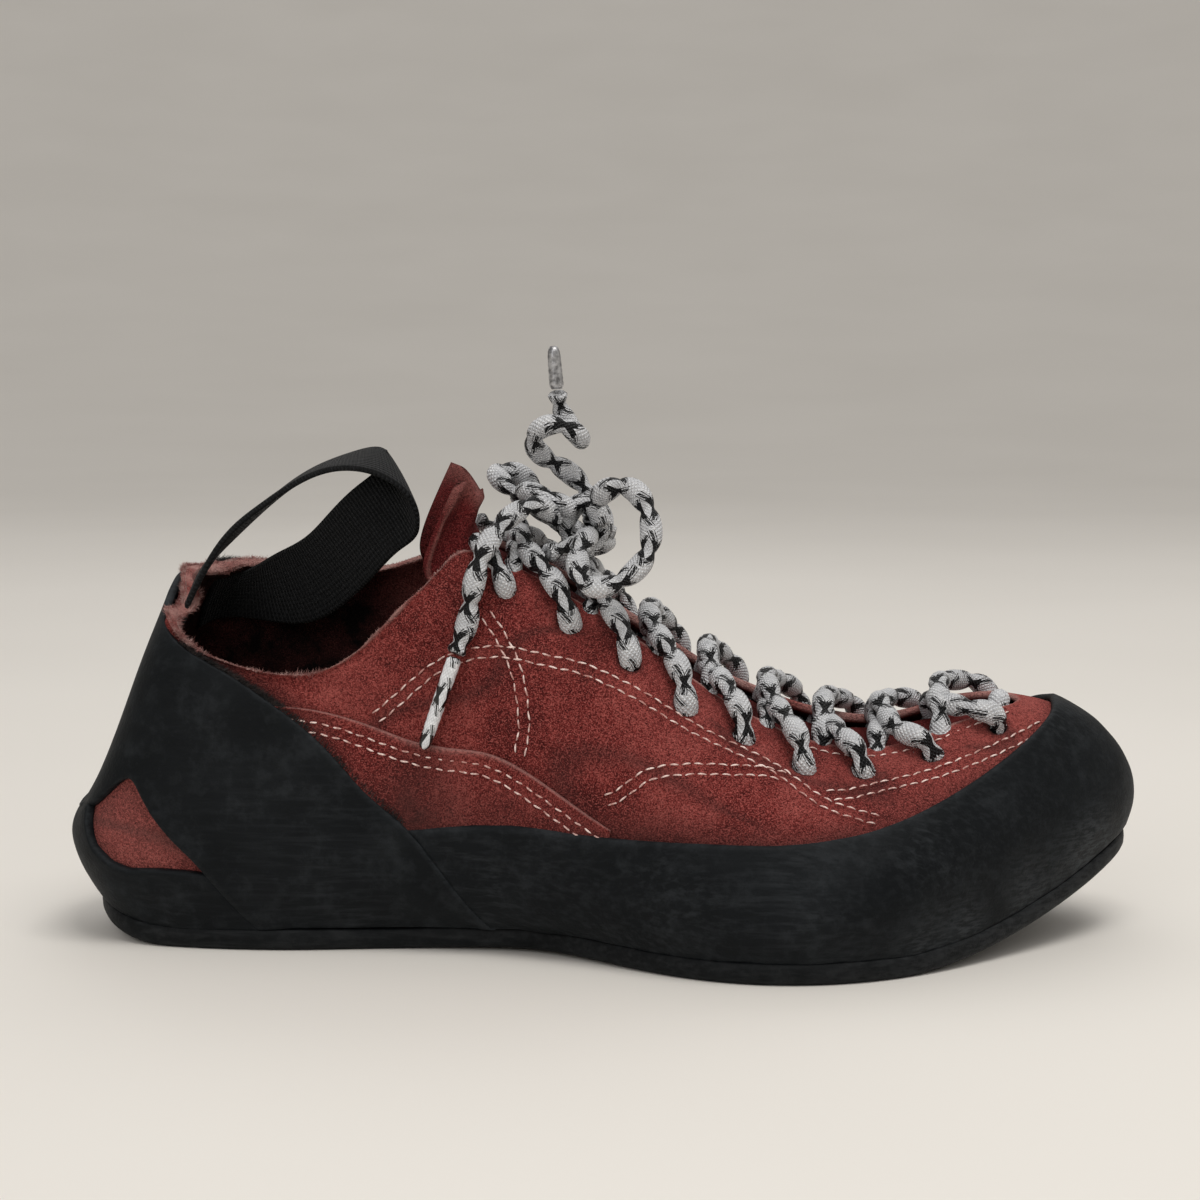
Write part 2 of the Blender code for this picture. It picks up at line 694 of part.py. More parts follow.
def make_heel_rand():
    top = mirrored(HEEL_RAND_TOP)
    station = columns_between(-HEEL_RAND_TOP[0].station, HEEL_RAND_TOP[0].station)
    order = np.argsort(top[:, 0])
    high = np.stack([station, np.interp(station, top[order, 0], top[order, 1])], 1)
    low = foot_line(station, (-HEEL_RAND_FOOT, HEEL_RAND_FOOT), HEEL_RAND_SLIDE)
    skin("heel_rand", low, high, RUBBER_BLACK, RUBBER, HEEL_RAND_STEPS)


def make_side_panel():
    knots = np.linspace(0, 1, len(PANEL_TOP))
    weights = spline_weights(knots, np.linspace(0, 1, PANEL_SECTIONS))
    low, high = weights @ np.array(PANEL_LOW), weights @ np.array(PANEL_TOP)
    skin("side_panel", low, high, SUEDE, PANEL, PANEL_STEPS)


def make_pull_loop():
    lift = -(WALL + 2 * GAP + LOOP_THICK / 2)
    half = LOOP_WIDTH / 2
    rise_reach = half / HEEL_HEIGHT
    rows = []
    for rise in LOOP_SEAT_RISES:
        station_width = np.linalg.norm(form(0.5, rise) - form(-0.5, rise))
        side_reach = half / station_width
        rows.append(form(np.array([side_reach, 0.0, -side_reach]), rise, lift))
    for point in PULL_LOOP:
        middle, across = np.array(point[:3]), np.array(point[3:])
        across = across / np.linalg.norm(across) * half
        rows.append(np.array([middle - across, middle, middle + across]))
    for station in LOOP_END_STATIONS:
        rises = np.array([LOOP_END_RISE - rise_reach, LOOP_END_RISE, LOOP_END_RISE + rise_reach])
        rows.append(form(station, rises, lift))
    rows = np.array(rows)
    steps = np.linalg.norm(np.diff(rows[:, 1], axis=0), axis=1)
    knots = np.concatenate([[0.0], np.cumsum(steps)])
    weights = spline_weights(knots, np.linspace(0, knots[-1], LOOP_SECTIONS))
    grid = np.einsum("ri,ijc->rjc", weights, rows)
    web = add_piece("pull_loop", sheet_mesh("pull_loop", grid), WEBBING)
    wall = web.modifiers.new("wall", "SOLIDIFY")
    wall.thickness = LOOP_THICK
    wall.offset = 0


def lace_turn(k, outer):
    """The lace's turn round eyelet k: out over the rim, round the eyelet and back."""
    station = EYELET_STATIONS[k]
    stations = np.array([station - TURN_STATIONS, station, station + TURN_STATIONS])
    if not outer:
        stations = STATIONS - stations
    rises = np.array([EYELET_RISE + TURN_RISE, EYELET_RISE, EYELET_RISE + TURN_RISE])
    return form(stations, rises, LACE_WIDTH / 2 + LACE_CLEAR)


def rim_point(k, share, outer):
    station = EYELET_STATIONS[k] + (EYELET_STATIONS[k + 1] - EYELET_STATIONS[k]) * share
    if not outer:
        station = STATIONS - station
    return form(np.array([station]), 1.0, LACE_WIDTH / 2 + LACE_CLEAR)[0]


def crossing_strand(first_outer, lift):
    """One strand down the shoe from eyelet 0 to the last, changing sides at each step."""
    points = []
    outer = first_outer
    last = len(EYELET_STATIONS) - 1
    for k in range(last):
        points.extend(lace_turn(k, outer))
        leave = rim_point(k, CROSS_SHARE, outer)
        arrive = rim_point(k, 1 - CROSS_SHARE, not outer)
        middle = (leave + arrive) / 2
        middle[2] += lift
        points.extend([leave, middle, arrive])
        outer = not outer
    points.extend(lace_turn(last, outer))
    bar = BAR_STATIONS if outer else -BAR_STATIONS
    end = EYELET_STATIONS[last] if outer else STATIONS - EYELET_STATIONS[last]
    points.append(form(end + bar, 1.0, LACE_WIDTH / 2 + LACE_CLEAR))
    return points


def make_lacing():
    down = crossing_strand(True, LACE_CLEAR)
    back = crossing_strand(False, LACE_PASS)[::-1]
    route = np.array(down + back)
    tube("lace_crossings", smooth_line(route, LACE_POINTS), LACE_WIDTH, LACE)


def make_free_lace():
    bpy.ops.mesh.primitive_torus_add(
        major_segments=KNOT_TURN_SECTIONS,
        minor_segments=KNOT_SIDES,
        major_radius=LACE_WIDTH * KNOT_TURN,
        minor_radius=LACE_WIDTH * KNOT_FULL,
        location=KNOT,
        rotation=KNOT_TILT,
    )
    knot = bpy.context.object
    knot.name = knot.data.name = "lace_knot"
    for owner in knot.users_collection:
        owner.objects.unlink(knot)
    knot.data.materials.append(LACE)
    SHOE.objects.link(knot)
    knot.parent = CARRIER
    tube("lace_near_end", smooth_line(NEAR_END, NEAR_END_POINTS), LACE_WIDTH, LACE)
    tube("lace_far_end", smooth_line(FAR_END, FAR_END_POINTS), LACE_WIDTH, LACE)
    tube("lace_near_bow", smooth_line(NEAR_BOW, NEAR_BOW_POINTS), LACE_WIDTH, LACE)
    tube("lace_far_bow", smooth_line(FAR_BOW, FAR_BOW_POINTS), LACE_WIDTH, LACE)
    tube("aglet_near", smooth_line(NEAR_AGLET, AGLET_POINTS), AGLET_WIDTH, TIP)
    tube("aglet_far", smooth_line(FAR_AGLET, AGLET_POINTS), AGLET_WIDTH, TIP)


for old in list(bpy.data.objects):
    bpy.data.objects.remove(old, do_unlink=True)
SHOE = bpy.data.collections.new("climbing_shoe")
bpy.context.scene.collection.children.link(SHOE)
CUTTERS = bpy.data.collections.new("cutters")
bpy.context.scene.collection.children.link(CUTTERS)
CARRIER = bpy.data.objects.new("shoe_origin", None)
CARRIER.location = (-REST_ALONG * LENGTH, 0, 0)
SHOE.objects.link(CARRIER)

SUEDE = material("suede_red", (0.20, 0.030, 0.026), 0.95)
SUEDE_SMOOTH = material("suede_tongue", (0.26, 0.060, 0.050), 0.9)
RUBBER_BLACK = material("rand_rubber", (0.012, 0.014, 0.016), 0.65)
SOLE_RUBBER = material("sole_rubber", (0.010, 0.012, 0.013), 0.6)
LINING = material("insole_lining", (0.03, 0.025, 0.025), 0.9)
WEBBING = material("webbing_black", (0.012, 0.012, 0.013), 0.85)
LACE = material("lace_grey", (0.55, 0.56, 0.58), 0.8)
TIP = material("aglet_grey", (0.35, 0.36, 0.37), 0.35)

make_sole()
make_upper()
make_tongue()
make_toe_rand()
make_heel_band()
make_heel_rand()
make_side_panel()
make_pull_loop()
make_lacing()
make_free_lace()
bpy.context.view_layer.update()
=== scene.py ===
"""Looks of the laced climbing shoe: camera, light, floor, and one detailed piece for each CAD node.

Places on the shoe are given as station and rise on the same form as the CAD source: station 0 is
the back of the heel, 1 to 12 the outer side, 13 the toe tip, 14 to 25 the inner side, rise 0 the
edge on the sole and rise 1 the rim. Lengths are metres.
"""

import math
from collections import namedtuple

import bpy
import numpy as np
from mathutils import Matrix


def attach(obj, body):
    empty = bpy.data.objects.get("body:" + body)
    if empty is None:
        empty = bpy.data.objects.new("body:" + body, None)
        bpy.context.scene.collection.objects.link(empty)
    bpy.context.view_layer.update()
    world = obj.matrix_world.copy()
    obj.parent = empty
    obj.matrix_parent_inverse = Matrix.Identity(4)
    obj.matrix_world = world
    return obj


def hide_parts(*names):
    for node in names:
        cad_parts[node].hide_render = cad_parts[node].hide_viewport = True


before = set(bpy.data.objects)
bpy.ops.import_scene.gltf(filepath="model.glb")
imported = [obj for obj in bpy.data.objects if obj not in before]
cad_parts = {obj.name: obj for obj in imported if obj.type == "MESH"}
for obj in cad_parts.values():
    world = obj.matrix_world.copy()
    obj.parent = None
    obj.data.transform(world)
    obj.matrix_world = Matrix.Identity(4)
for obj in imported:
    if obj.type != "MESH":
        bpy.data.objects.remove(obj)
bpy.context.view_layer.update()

# Sizes of the shoe, as its solids have them
LENGTH = 0.272
BALL_WIDTH = 0.094
INSTEP = 0.100
HEEL_HEIGHT = 0.093
SOLE_THICK = 0.0048
SOLE_LIP = 0.0004
SOLE_ROUND = 0.0012
TOE_SPRING = 0.0205
ARCH_LIFT = 0.0012
HEEL_LIFT = 0.0100
HEEL_FLAT = (0.11, 0.30)
BALL_FLAT = (0.60, 0.78)
SPRING_POWER = 1.8
GAP = 0.0003
SKIN_GAP = 0.0005
WALL = 0.0022
RUBBER = 0.0020
PANEL = 0.0012
INSOLE_THICK = 0.0030
INSOLE_ROOM = 0.0012
TONGUE_THICK = 0.0030
TONGUE_CLEAR = 0.0013
LOOP_WIDTH = 0.0200
LOOP_THICK = 0.0016
REST_ALONG = 0.18

# Sizes of what only the looks have
SKIN_BASE = 0.0002
RUBBER_BEVEL = 0.0009
PANEL_BEVEL = 0.0006
FOOT_DIP = 0.008
EYELET_PUNCH = 0.0017
EYELET_DISH = 0.0006
SEAM_DENT = 0.0003
COLLAR_FIBRES, BAND_FIBRES = 9000, 3200
COLLAR_FIBRE_WIDTH, BAND_FIBRE_WIDTH = 0.00017, 0.00026
HEEL_FIBRE, FLAP_FIBRE = 0.0019, 0.0008
BAND_FIBRE = (0.0008, 0.0026)
STITCH_PITCH = 0.0030
STITCH_LENGTH = 0.0022
STITCH_WIDTH = 0.00046
STITCH_LIFT = 0.0001
SEAM_GAP = 0.0027
PANEL_SEAM_DROPS = (0.0030, 0.0055)
LACE_WIDTH = 0.0060
BEAD = 0.0106
NECK_SHARE = 0.58
BEAD_FULLNESS = 2.6
KNOT_LACE_WIDTH = 0.0056
TANGLE_LACE_WIDTH = 0.0058
KNOT_STEP = 0.0006
TIP_RADIUS = 0.0019
TIP_TAPER = 0.0003
FLOOR_NEAR = 0.9
FLOOR_FLAT = 1.8
FLOOR_REACH = 9.0
FLOOR_RISE = 0.06
FLOOR_RINGS = 19
FLOOR_SIDES = 64

Row = namedtuple(
    "Row",
    "name follows edge_along edge_side belly_out belly_rise rim_along rim_side rim_rise full",
)
FORM = [
    Row("heel", "heel", 0.033, 0.000, 0.085, 0.270, 0.103, 0.020, 0.990, 2.20),
    Row("lateral 1", "heel", 0.055, -0.170, 0.080, 0.265, 0.110, -0.160, 0.890, 1.70),
    Row("lateral 2", "heel", 0.110, -0.245, 0.040, 0.240, 0.150, -0.250, 0.800, 1.20),
    Row("lateral 3", "heel", 0.213, -0.261, 0.035, 0.215, 0.235, -0.266, 0.750, 1.00),
    Row("lateral 4", "heel", 0.316, -0.223, 0.064, 0.205, 0.298, -0.245, 0.840, 1.00),
    Row("lateral 5", "instep", 0.397, -0.223, 0.075, 0.180, 0.357, -0.213, 0.950, 1.00),
    Row("lateral 6", "instep", 0.463, -0.261, 0.080, 0.180, 0.397, -0.160, 0.998, 1.10),
    Row("lateral 7", "instep", 0.540, -0.383, 0.040, 0.170, 0.493, -0.149, 0.870, 1.25),
    Row("lateral 8", "instep", 0.625, -0.495, 0.026, 0.160, 0.599, -0.149, 0.670, 1.30),
    Row("lateral 9", "instep", 0.710, -0.500, 0.023, 0.160, 0.691, -0.138, 0.540, 1.30),
    Row("lateral 10", "instep", 0.794, -0.388, 0.023, 0.185, 0.768, -0.106, 0.510, 1.25),
    Row("lateral 11", "instep", 0.886, -0.170, 0.023, 0.245, 0.838, -0.043, 0.565, 1.15),
    Row("lateral 12", "instep", 0.960, 0.032, 0.029, 0.315, 0.882, 0.032, 0.600, 1.10),
    Row("toe", "instep", 0.993, 0.200, 0.032, 0.350, 0.895, 0.100, 0.610, 1.10),
    Row("medial 12", "instep", 0.967, 0.351, 0.032, 0.325, 0.882, 0.160, 0.620, 1.10),
    Row("medial 11", "instep", 0.901, 0.436, 0.029, 0.270, 0.831, 0.191, 0.600, 1.05),
    Row("medial 10", "instep", 0.805, 0.447, 0.032, 0.200, 0.768, 0.191, 0.550, 1.05),
    Row("medial 9", "instep", 0.710, 0.441, 0.032, 0.180, 0.691, 0.181, 0.580, 1.10),
    Row("medial 8", "instep", 0.610, 0.388, 0.050, 0.190, 0.592, 0.181, 0.700, 1.10),
    Row("medial 7", "instep", 0.518, 0.277, 0.084, 0.200, 0.485, 0.170, 0.890, 1.05),
    Row("medial 6", "instep", 0.434, 0.213, 0.084, 0.200, 0.386, 0.170, 1.020, 1.00),
    Row("medial 5", "instep", 0.360, 0.202, 0.075, 0.200, 0.338, 0.223, 0.980, 1.00),
    Row("medial 4", "heel", 0.287, 0.218, 0.058, 0.215, 0.279, 0.255, 0.990, 1.00),
    Row("medial 3", "heel", 0.202, 0.250, 0.038, 0.225, 0.213, 0.261, 0.990, 1.00),
    Row("medial 2", "heel", 0.107, 0.229, 0.043, 0.247, 0.147, 0.213, 1.020, 1.20),
    Row("medial 1", "heel", 0.051, 0.149, 0.087, 0.269, 0.110, 0.117, 1.010, 1.70),
]
STATIONS = len(FORM)
PROFILE_RISES = np.array([0.0, 0.2, 0.43, 0.70, 1.0])
SHOULDER_TURNS = (math.pi / 6, math.pi / 3)

# Lines of (station, rise)
RAND_TOP = [
    (3.95, 0.300), (5.30, 0.300), (6.40, 0.310), (7.03, 0.330), (7.90, 0.380), (8.58, 0.420),
    (9.50, 0.480), (10.28, 0.530), (11.12, 0.600), (12.00, 0.715), (13.00, 0.800), (14.00, 0.715),
    (15.00, 0.600), (16.00, 0.520), (17.00, 0.450), (18.00, 0.385), (19.00, 0.330), (20.00, 0.310),
    (22.05, 0.300),
]
RAND_FOOT = (5.15, 20.85)
TOE_RAND_SLIDE = 0.12
BAND_FRONT = [
    (5.33, 0.00), (5.10, 0.11), (4.70, 0.205), (4.15, 0.31), (3.70, 0.40), (3.20, 0.57),
    (2.75, 0.73), (2.23, 0.88), (1.55, 0.93), (0.80, 0.93), (0.00, 0.93),
]
BAND_BACK = [
    (2.85, 0.00), (2.58, 0.115), (2.33, 0.205), (2.12, 0.255), (1.92, 0.305), (1.72, 0.365),
    (1.50, 0.415), (1.22, 0.385), (0.95, 0.345), (0.50, 0.315), (0.00, 0.305),
]
HEEL_RAND_TOP = [
    (2.62, 0.185), (2.20, 0.185), (1.95, 0.180), (1.60, 0.165), (1.35, 0.175), (1.10, 0.215),
    (0.98, 0.285), (0.88, 0.345), (0.50, 0.345), (0.00, 0.340),
]
HEEL_RAND_FOOT = 3.15
HEEL_RAND_SLIDE = 0.20
PANEL_TOP = [
    (2.86, 0.680), (3.18, 0.655), (3.55, 0.590), (4.10, 0.480), (4.50, 0.430), (5.00, 0.402),
    (5.93, 0.378), (6.55, 0.355), (6.92, 0.338),
]
PANEL_LOW = [
    (2.70, 0.645), (2.85, 0.590), (3.10, 0.500), (3.55, 0.380), (4.00, 0.290), (4.80, 0.280),
    (5.90, 0.285), (6.60, 0.300), (6.90, 0.315),
]
EYELETS = [
    (6.08, 0.775), (6.75, 0.760), (7.30, 0.760), (7.80, 0.740), (8.35, 0.765), (8.95, 0.740),
    (9.62, 0.765), (10.43, 0.795), (11.35, 0.815),
]
# Seams: a row of stitches on either side of each line, SEAM_GAP apart
SEAM_VAMP = [
    (11.93, 0.69), (11.28, 0.665), (10.80, 0.66), (10.38, 0.665), (10.05, 0.67), (9.65, 0.655),
    (9.38, 0.63), (9.10, 0.615),
]
SEAM_ARC = [
    (3.88, 0.54), (4.23, 0.57), (4.60, 0.585), (5.03, 0.57), (5.60, 0.56), (6.05, 0.57),
    (6.43, 0.59), (6.78, 0.62), (7.10, 0.64), (7.43, 0.655), (7.78, 0.66), (8.10, 0.67),
    (8.43, 0.675), (8.68, 0.66), (8.88, 0.625), (9.08, 0.59), (9.38, 0.56), (9.70, 0.525),
]
SEAM_QUARTER = [
    (5.55, 0.66), (5.73, 0.61), (5.85, 0.57), (5.94, 0.53), (5.97, 0.49), (5.97, 0.45),
    (5.90, 0.41), (5.85, 0.385),
]
SEAM_BALL = [
    (6.85, 0.38), (7.05, 0.41), (7.28, 0.46), (7.58, 0.51), (7.93, 0.56), (8.30, 0.61),
    (8.55, 0.64), (8.76, 0.645),
]


def unit(vectors):
    return vectors / np.linalg.norm(vectors, axis=-1, keepdims=True)


def gone_along(points):
    """The distance gone at each point of a line."""
    return np.concatenate([[0.0], np.cumsum(np.linalg.norm(np.diff(points, axis=0), axis=1))])


def spline_weights(knots, at):
    """Weights that read a natural cubic spline through values at the knots, straight beyond it."""
    knots = np.asarray(knots, float)
    at = np.asarray(at, float)
    count = len(knots)
    step = np.diff(knots)
    system = np.eye(count)
    bends = np.zeros((count, count))
    for i in range(1, count - 1):
        before, after = step[i - 1], step[i]
        system[i, i - 1 : i + 2] = before, 2 * (before + after), after
        bends[i, i - 1 : i + 2] = 6 / before, -6 / before - 6 / after, 6 / after
    curving = np.linalg.solve(system, bends)
    clamped = np.clip(at, knots[0], knots[-1])
    i = np.clip(np.searchsorted(knots, clamped, side="right") - 1, 0, count - 2)
    width = step[i]
    low = (knots[i + 1] - clamped) / width
    high = (clamped - knots[i]) / width
    rows = np.arange(len(at))
    weights = np.zeros((len(at), count))
    weights[rows, i] += low
    weights[rows, i + 1] += high
    weights += ((low**3 - low) * width**2 / 6)[:, None] * curving[i]
    weights += ((high**3 - high) * width**2 / 6)[:, None] * curving[i + 1]
    start_slope = -step[0] / 3 * curving[0] - step[0] / 6 * curving[1]
    start_slope[:2] += np.array([-1.0, 1.0]) / step[0]
    end_slope = step[-1] / 6 * curving[-2] + step[-1] / 3 * curving[-1]
    end_slope[-2:] += np.array([-1.0, 1.0]) / step[-1]
    weights += np.minimum(at - knots[0], 0)[:, None] * start_slope
    weights += np.maximum(at - knots[-1], 0)[:, None] * end_slope
    return weights


def ring_weights(count, at):
    """The same weights round a closed ring of knots 1 apart."""
    reach = 6
    wrapped = np.arange(-reach, count + reach)
    open_weights = spline_weights(wrapped, np.mod(at, count))
    weights = np.zeros((len(open_weights), count))
    for column, station in enumerate(wrapped):
        weights[:, station % count] += open_weights[:, column]
    return weights


def smooth_line(points, count):
    """A spline through points, read at count places."""
    points = np.asarray(points, float)
    knots = gone_along(points[:, :3])
    return spline_weights(knots, np.linspace(0, knots[-1], count)) @ points


def even_line(points, step):
    """A smooth curve through points with places an equal step apart."""
    fine = smooth_line(points, 60 * len(points))
    gone = gone_along(fine)
    count = max(2, int(round(gone[-1] / step)) + 1)
    at = np.linspace(0, gone[-1], count)
    return np.stack([np.interp(at, gone, fine[:, i]) for i in range(fine.shape[1])], 1)


def sole_rise(along):
    """Height of the sole's underside, along the shoe from the heel."""
    share = np.asarray(along) / LENGTH
    toe = np.clip((share - BALL_FLAT[1]) / (1 - BALL_FLAT[1]), 0, None) ** SPRING_POWER
    heel = np.clip(1 - share / HEEL_FLAT[0], 0, 1) ** 2
    arch = np.clip((share - HEEL_FLAT[1]) / (BALL_FLAT[0] - HEEL_FLAT[1]), 0, 1)
    return TOE_SPRING * toe + HEEL_LIFT * heel + ARCH_LIFT * np.sin(np.pi * arch) ** 2


def form_points():
    """At each station of the form: its edge, its belly, two places on its shoulder and its rim."""
    rows = []
    for i, row in enumerate(FORM):
        tall = HEEL_HEIGHT if row.follows == "heel" else INSTEP
        before, after = FORM[i - 1], FORM[(i + 1) % STATIONS]
        along = (after.edge_along - before.edge_along) * LENGTH
        side = (after.edge_side - before.edge_side) * BALL_WIDTH
        outward = np.array([side, -along]) / math.hypot(along, side)
        edge = np.array([row.edge_along * LENGTH, row.edge_side * BALL_WIDTH])
        belly = np.append(edge + outward * row.belly_out * BALL_WIDTH, row.belly_rise * tall)
        rim = np.array([row.rim_along * LENGTH, row.rim_side * BALL_WIDTH, row.rim_rise * tall])
        points = [np.append(edge, sole_rise(edge[0]) + SOLE_THICK + GAP), belly]
        for turn in SHOULDER_TURNS:
            over = math.cos(turn) ** row.full
            up = math.sin(turn) ** row.full
            shoulder = rim + (belly - rim) * over
            shoulder[2] = belly[2] + (rim[2] - belly[2]) * up
            points.append(shoulder)
        rows.append(points + [rim])
    return np.array(rows)


FORM_POINTS = form_points()
SHIFT = np.array([-REST_ALONG * LENGTH, 0.0, 0.0])


def form(station, rise, lift=0.0):
    """Points of the form in the shoe's own frame, moved out along its normal by lift."""
    station, rise, lift = np.broadcast_arrays(
        np.asarray(station, float), np.asarray(rise, float), np.asarray(lift, float)
    )
    shape = station.shape
    station, rise, lift = station.ravel(), rise.ravel(), lift.ravel()

    def read(at_station, at_rise):
        across = np.einsum("kj,ijc->kic", spline_weights(PROFILE_RISES, at_rise), FORM_POINTS)
        return np.einsum("ki,kic->kc", ring_weights(STATIONS, at_station), across)

    small = 1e-3
    around = read(station + small, rise) - read(station - small, rise)
    upward = read(station, rise + small) - read(station, rise - small)
    normal = unit(np.cross(around, upward))
    return (read(station, rise) + normal * lift[:, None] + SHIFT).reshape(shape + (3,))


def foot_rise(station, lift):
    """The rises at which the form, moved out by lift, comes down to the top of the sole."""
    rises = np.linspace(-0.05, 0.25, 61)
    columns, steps = np.meshgrid(station, rises, indexing="ij")
    points = form(columns, steps, lift)
    above = points[..., 2] - sole_rise(points[..., 0] - SHIFT[0]) - SOLE_THICK - GAP
    return np.array([np.interp(0.0, clear, rises) for clear in above])


def line_rise(line, station):
    stations, rises = np.array(line).T
    return spline_weights(stations, station) @ rises


def noise(points, size, seed=0):
    """Smooth noise between -1 and 1, of sine waves in fixed directions, with bumps of this size."""
    draw = np.random.default_rng(seed)
    total = np.zeros(points.shape[:-1])
    for _ in range(7):
        direction = draw.normal(size=3)
        direction *= draw.uniform(0.6, 1.5) / np.linalg.norm(direction)
        total += np.sin(points @ direction * (2 * math.pi / size) + draw.uniform(0, 6.28))
    return total / 3.5


def patchy(points, size, seed, level, swing):
    """Smooth patches of this size round a level, held between 0 and 1."""
    return np.clip(level + swing * noise(points, size, seed), 0, 1)


def soft_step(value, low, high):
    share = np.clip((value - low) / (high - low), 0, 1)
    return share * share * (3 - 2 * share)


def near_line(places, line, reach):
    """1 on a line of (station, rise), fading to 0 at reach metres from it."""
    points = form(np.array(line)[:, 0], np.array(line)[:, 1])
    points = even_line(points, min(0.004, reach / 3))
    flat = places.reshape(-1, 3)
    nearest = np.full(len(flat), 1.0)
    chunk = 20000
    for start in range(0, len(flat), chunk):
        gaps = np.linalg.norm(flat[start : start + chunk, None, :] - points[None, :, :], axis=2)
        nearest[start : start + chunk] = gaps.min(axis=1)
    return np.clip(1 - nearest / reach, 0, 1).reshape(places.shape[:-1])


def from_heel(station):
    """Stations counted from the heel along the nearer side."""
    station = np.abs(station)
    return np.where(station > STATIONS / 2, STATIONS - station, station)


def mirror_seam(line):
    """The same line on the inner side."""
    return [(STATIONS - station, rise) for station, rise in line]


def mirrored(line):
    """A line that ends at the back of the heel, carried on along the other side."""
    other = np.array([(-station, rise) for station, rise in line[:-1]])
    return np.concatenate([np.array(line, float), other[::-1]])


# Camera and light

scene = bpy.context.scene
scene.render.film_transparent = False
lens = bpy.data.cameras.new("camera")
lens.sensor_width = 36
lens.lens = 70.2
lens.clip_start = 0.02
camera = bpy.data.objects.new("camera", lens)
camera.location = (0.1335, -0.594, 0.150)
camera.rotation_euler = (math.radians(90 - 6.1), 0, math.radians(4.4))
scene.collection.objects.link(camera)
scene.camera = camera


def area_light(name, place, aim, size, power, color):
    data = bpy.data.lights.new(name, "AREA")
    data.shape = "RECTANGLE"
    data.size, data.size_y = size
    data.energy = power
    data.color = color
    lamp = bpy.data.objects.new(name, data)
    lamp.location = place
    x, y, z = np.array(aim, float) - np.array(place, float)
    lamp.rotation_euler = (math.atan2(math.hypot(x, y), -z), 0, math.atan2(y, x) - math.pi / 2)
    scene.collection.objects.link(lamp)


area_light("key", (0.36, -0.34, 1.20), (0.11, 0, 0.04), (0.7, 0.5), 6.8, (1, 0.98, 0.95))
area_light("front", (-0.35, -1.5, 0.85), (0.09, 0, 0.05), (1.0, 0.8), 4.5, (0.98, 0.98, 1))
area_light("back", (0.1, 0.9, 1.0), (0.09, 0, 0.05), (1.2, 0.5), 2.2, (1, 1, 1))

world = bpy.data.worlds.new("studio")
world.use_nodes = True
sky = world.node_tree.nodes["Background"].inputs
sky["Color"].default_value = (0.80, 0.78, 0.76, 1)
sky["Strength"].default_value = 0.67
scene.world = world
scene.view_settings.view_transform = "Standard"


# Materials

class Nodes:
    """A small writer of node trees."""

    def __init__(self, name):
        self.made = bpy.data.materials.new(name)
        self.made.use_nodes = True
        self.tree = self.made.node_tree
        self.shader = self.tree.nodes["Principled BSDF"]

    def set(self, **values):
        for name, value in values.items():
            self.to(self.shader.inputs[name.replace("_", " ")], value)

    def to(self, socket, value):
        if isinstance(value, bpy.types.NodeSocket):
            self.tree.links.new(value, socket)
        else:
            socket.default_value = value

    def node(self, kind, inputs=(), **settings):
        """A new node with these settings, and values or links for its inputs."""
        made = self.tree.nodes.new(kind)
        for name, value in settings.items():
            setattr(made, name, value)
        for name, value in dict(inputs).items():
            self.to(made.inputs[name], value)
        return made

    def place(self, kind="Object"):
        return self.node("ShaderNodeTexCoord").outputs[kind]

    def around_along(self):
        parts = self.node("ShaderNodeSeparateXYZ", {0: self.place("UV")}).outputs
        return parts[0], parts[1]

    def stretch(self, vector, scale):
        return self.node("ShaderNodeMapping", {"Vector": vector, "Scale": scale}).outputs["Vector"]

    def noise(self, vector, scale, detail, rough):
        inputs = {"Vector": vector, "Scale": scale, "Detail": detail, "Roughness": rough}
        return self.node("ShaderNodeTexNoise", inputs).outputs["Fac"]

    def ramp(self, factor, *stops):
        """A colour ramp through (place, grey or colour) stops."""
        made = self.node("ShaderNodeValToRGB", {"Fac": factor})
        line = made.color_ramp
        while len(line.elements) < len(stops):
            line.elements.new(0.5)
        for element, (at, color) in zip(line.elements, stops):
            element.position = at
            element.color = (*color, 1) if isinstance(color, tuple) else (color,) * 3 + (1,)
        return made.outputs["Color"]

    def math(self, kind, a, b=0.0, clamp=False):
        return self.node("ShaderNodeMath", {0: a, 1: b}, operation=kind, use_clamp=clamp).outputs[0]

    def add(self, a, b, clamp=False):
        return self.math("ADD", a, b, clamp)

    def times(self, a, b, clamp=False):
        return self.math("MULTIPLY", a, b, clamp)

    def less(self, a, b):
        """1 where a is within b of zero."""
        return self.math("LESS_THAN", self.math("ABSOLUTE", a), b)

    def fold(self, value):
        """Signed distance from the nearest whole number."""
        return self.math("SUBTRACT", self.math("FRACT", self.add(value, 0.5)), 0.5)

    def wave(self, value):
        return self.math("SINE", self.times(value, 2 * math.pi))

    def mix(self, factor, a, b):
        a, b = ((*color, 1) if isinstance(color, tuple) else color for color in (a, b))
        return self.node("ShaderNodeMix", {0: factor, 6: a, 7: b}, data_type="RGBA").outputs[2]

    def marks(self):
        read = self.node("ShaderNodeAttribute", attribute_name="marks").outputs["Color"]
        parts = self.node("ShaderNodeSeparateColor", {0: read}).outputs
        return parts[0], parts[1], parts[2]

    def bump(self, *layers):
        """Bump from (height, distance in metres) layers, one after another."""
        normal = None
        for height, distance in layers:
            made = self.node("ShaderNodeBump", {"Distance": distance, "Height": height})
            if normal is not None:
                self.to(made.inputs["Normal"], normal)
            normal = made.outputs["Normal"]
        self.to(self.shader.inputs["Normal"], normal)


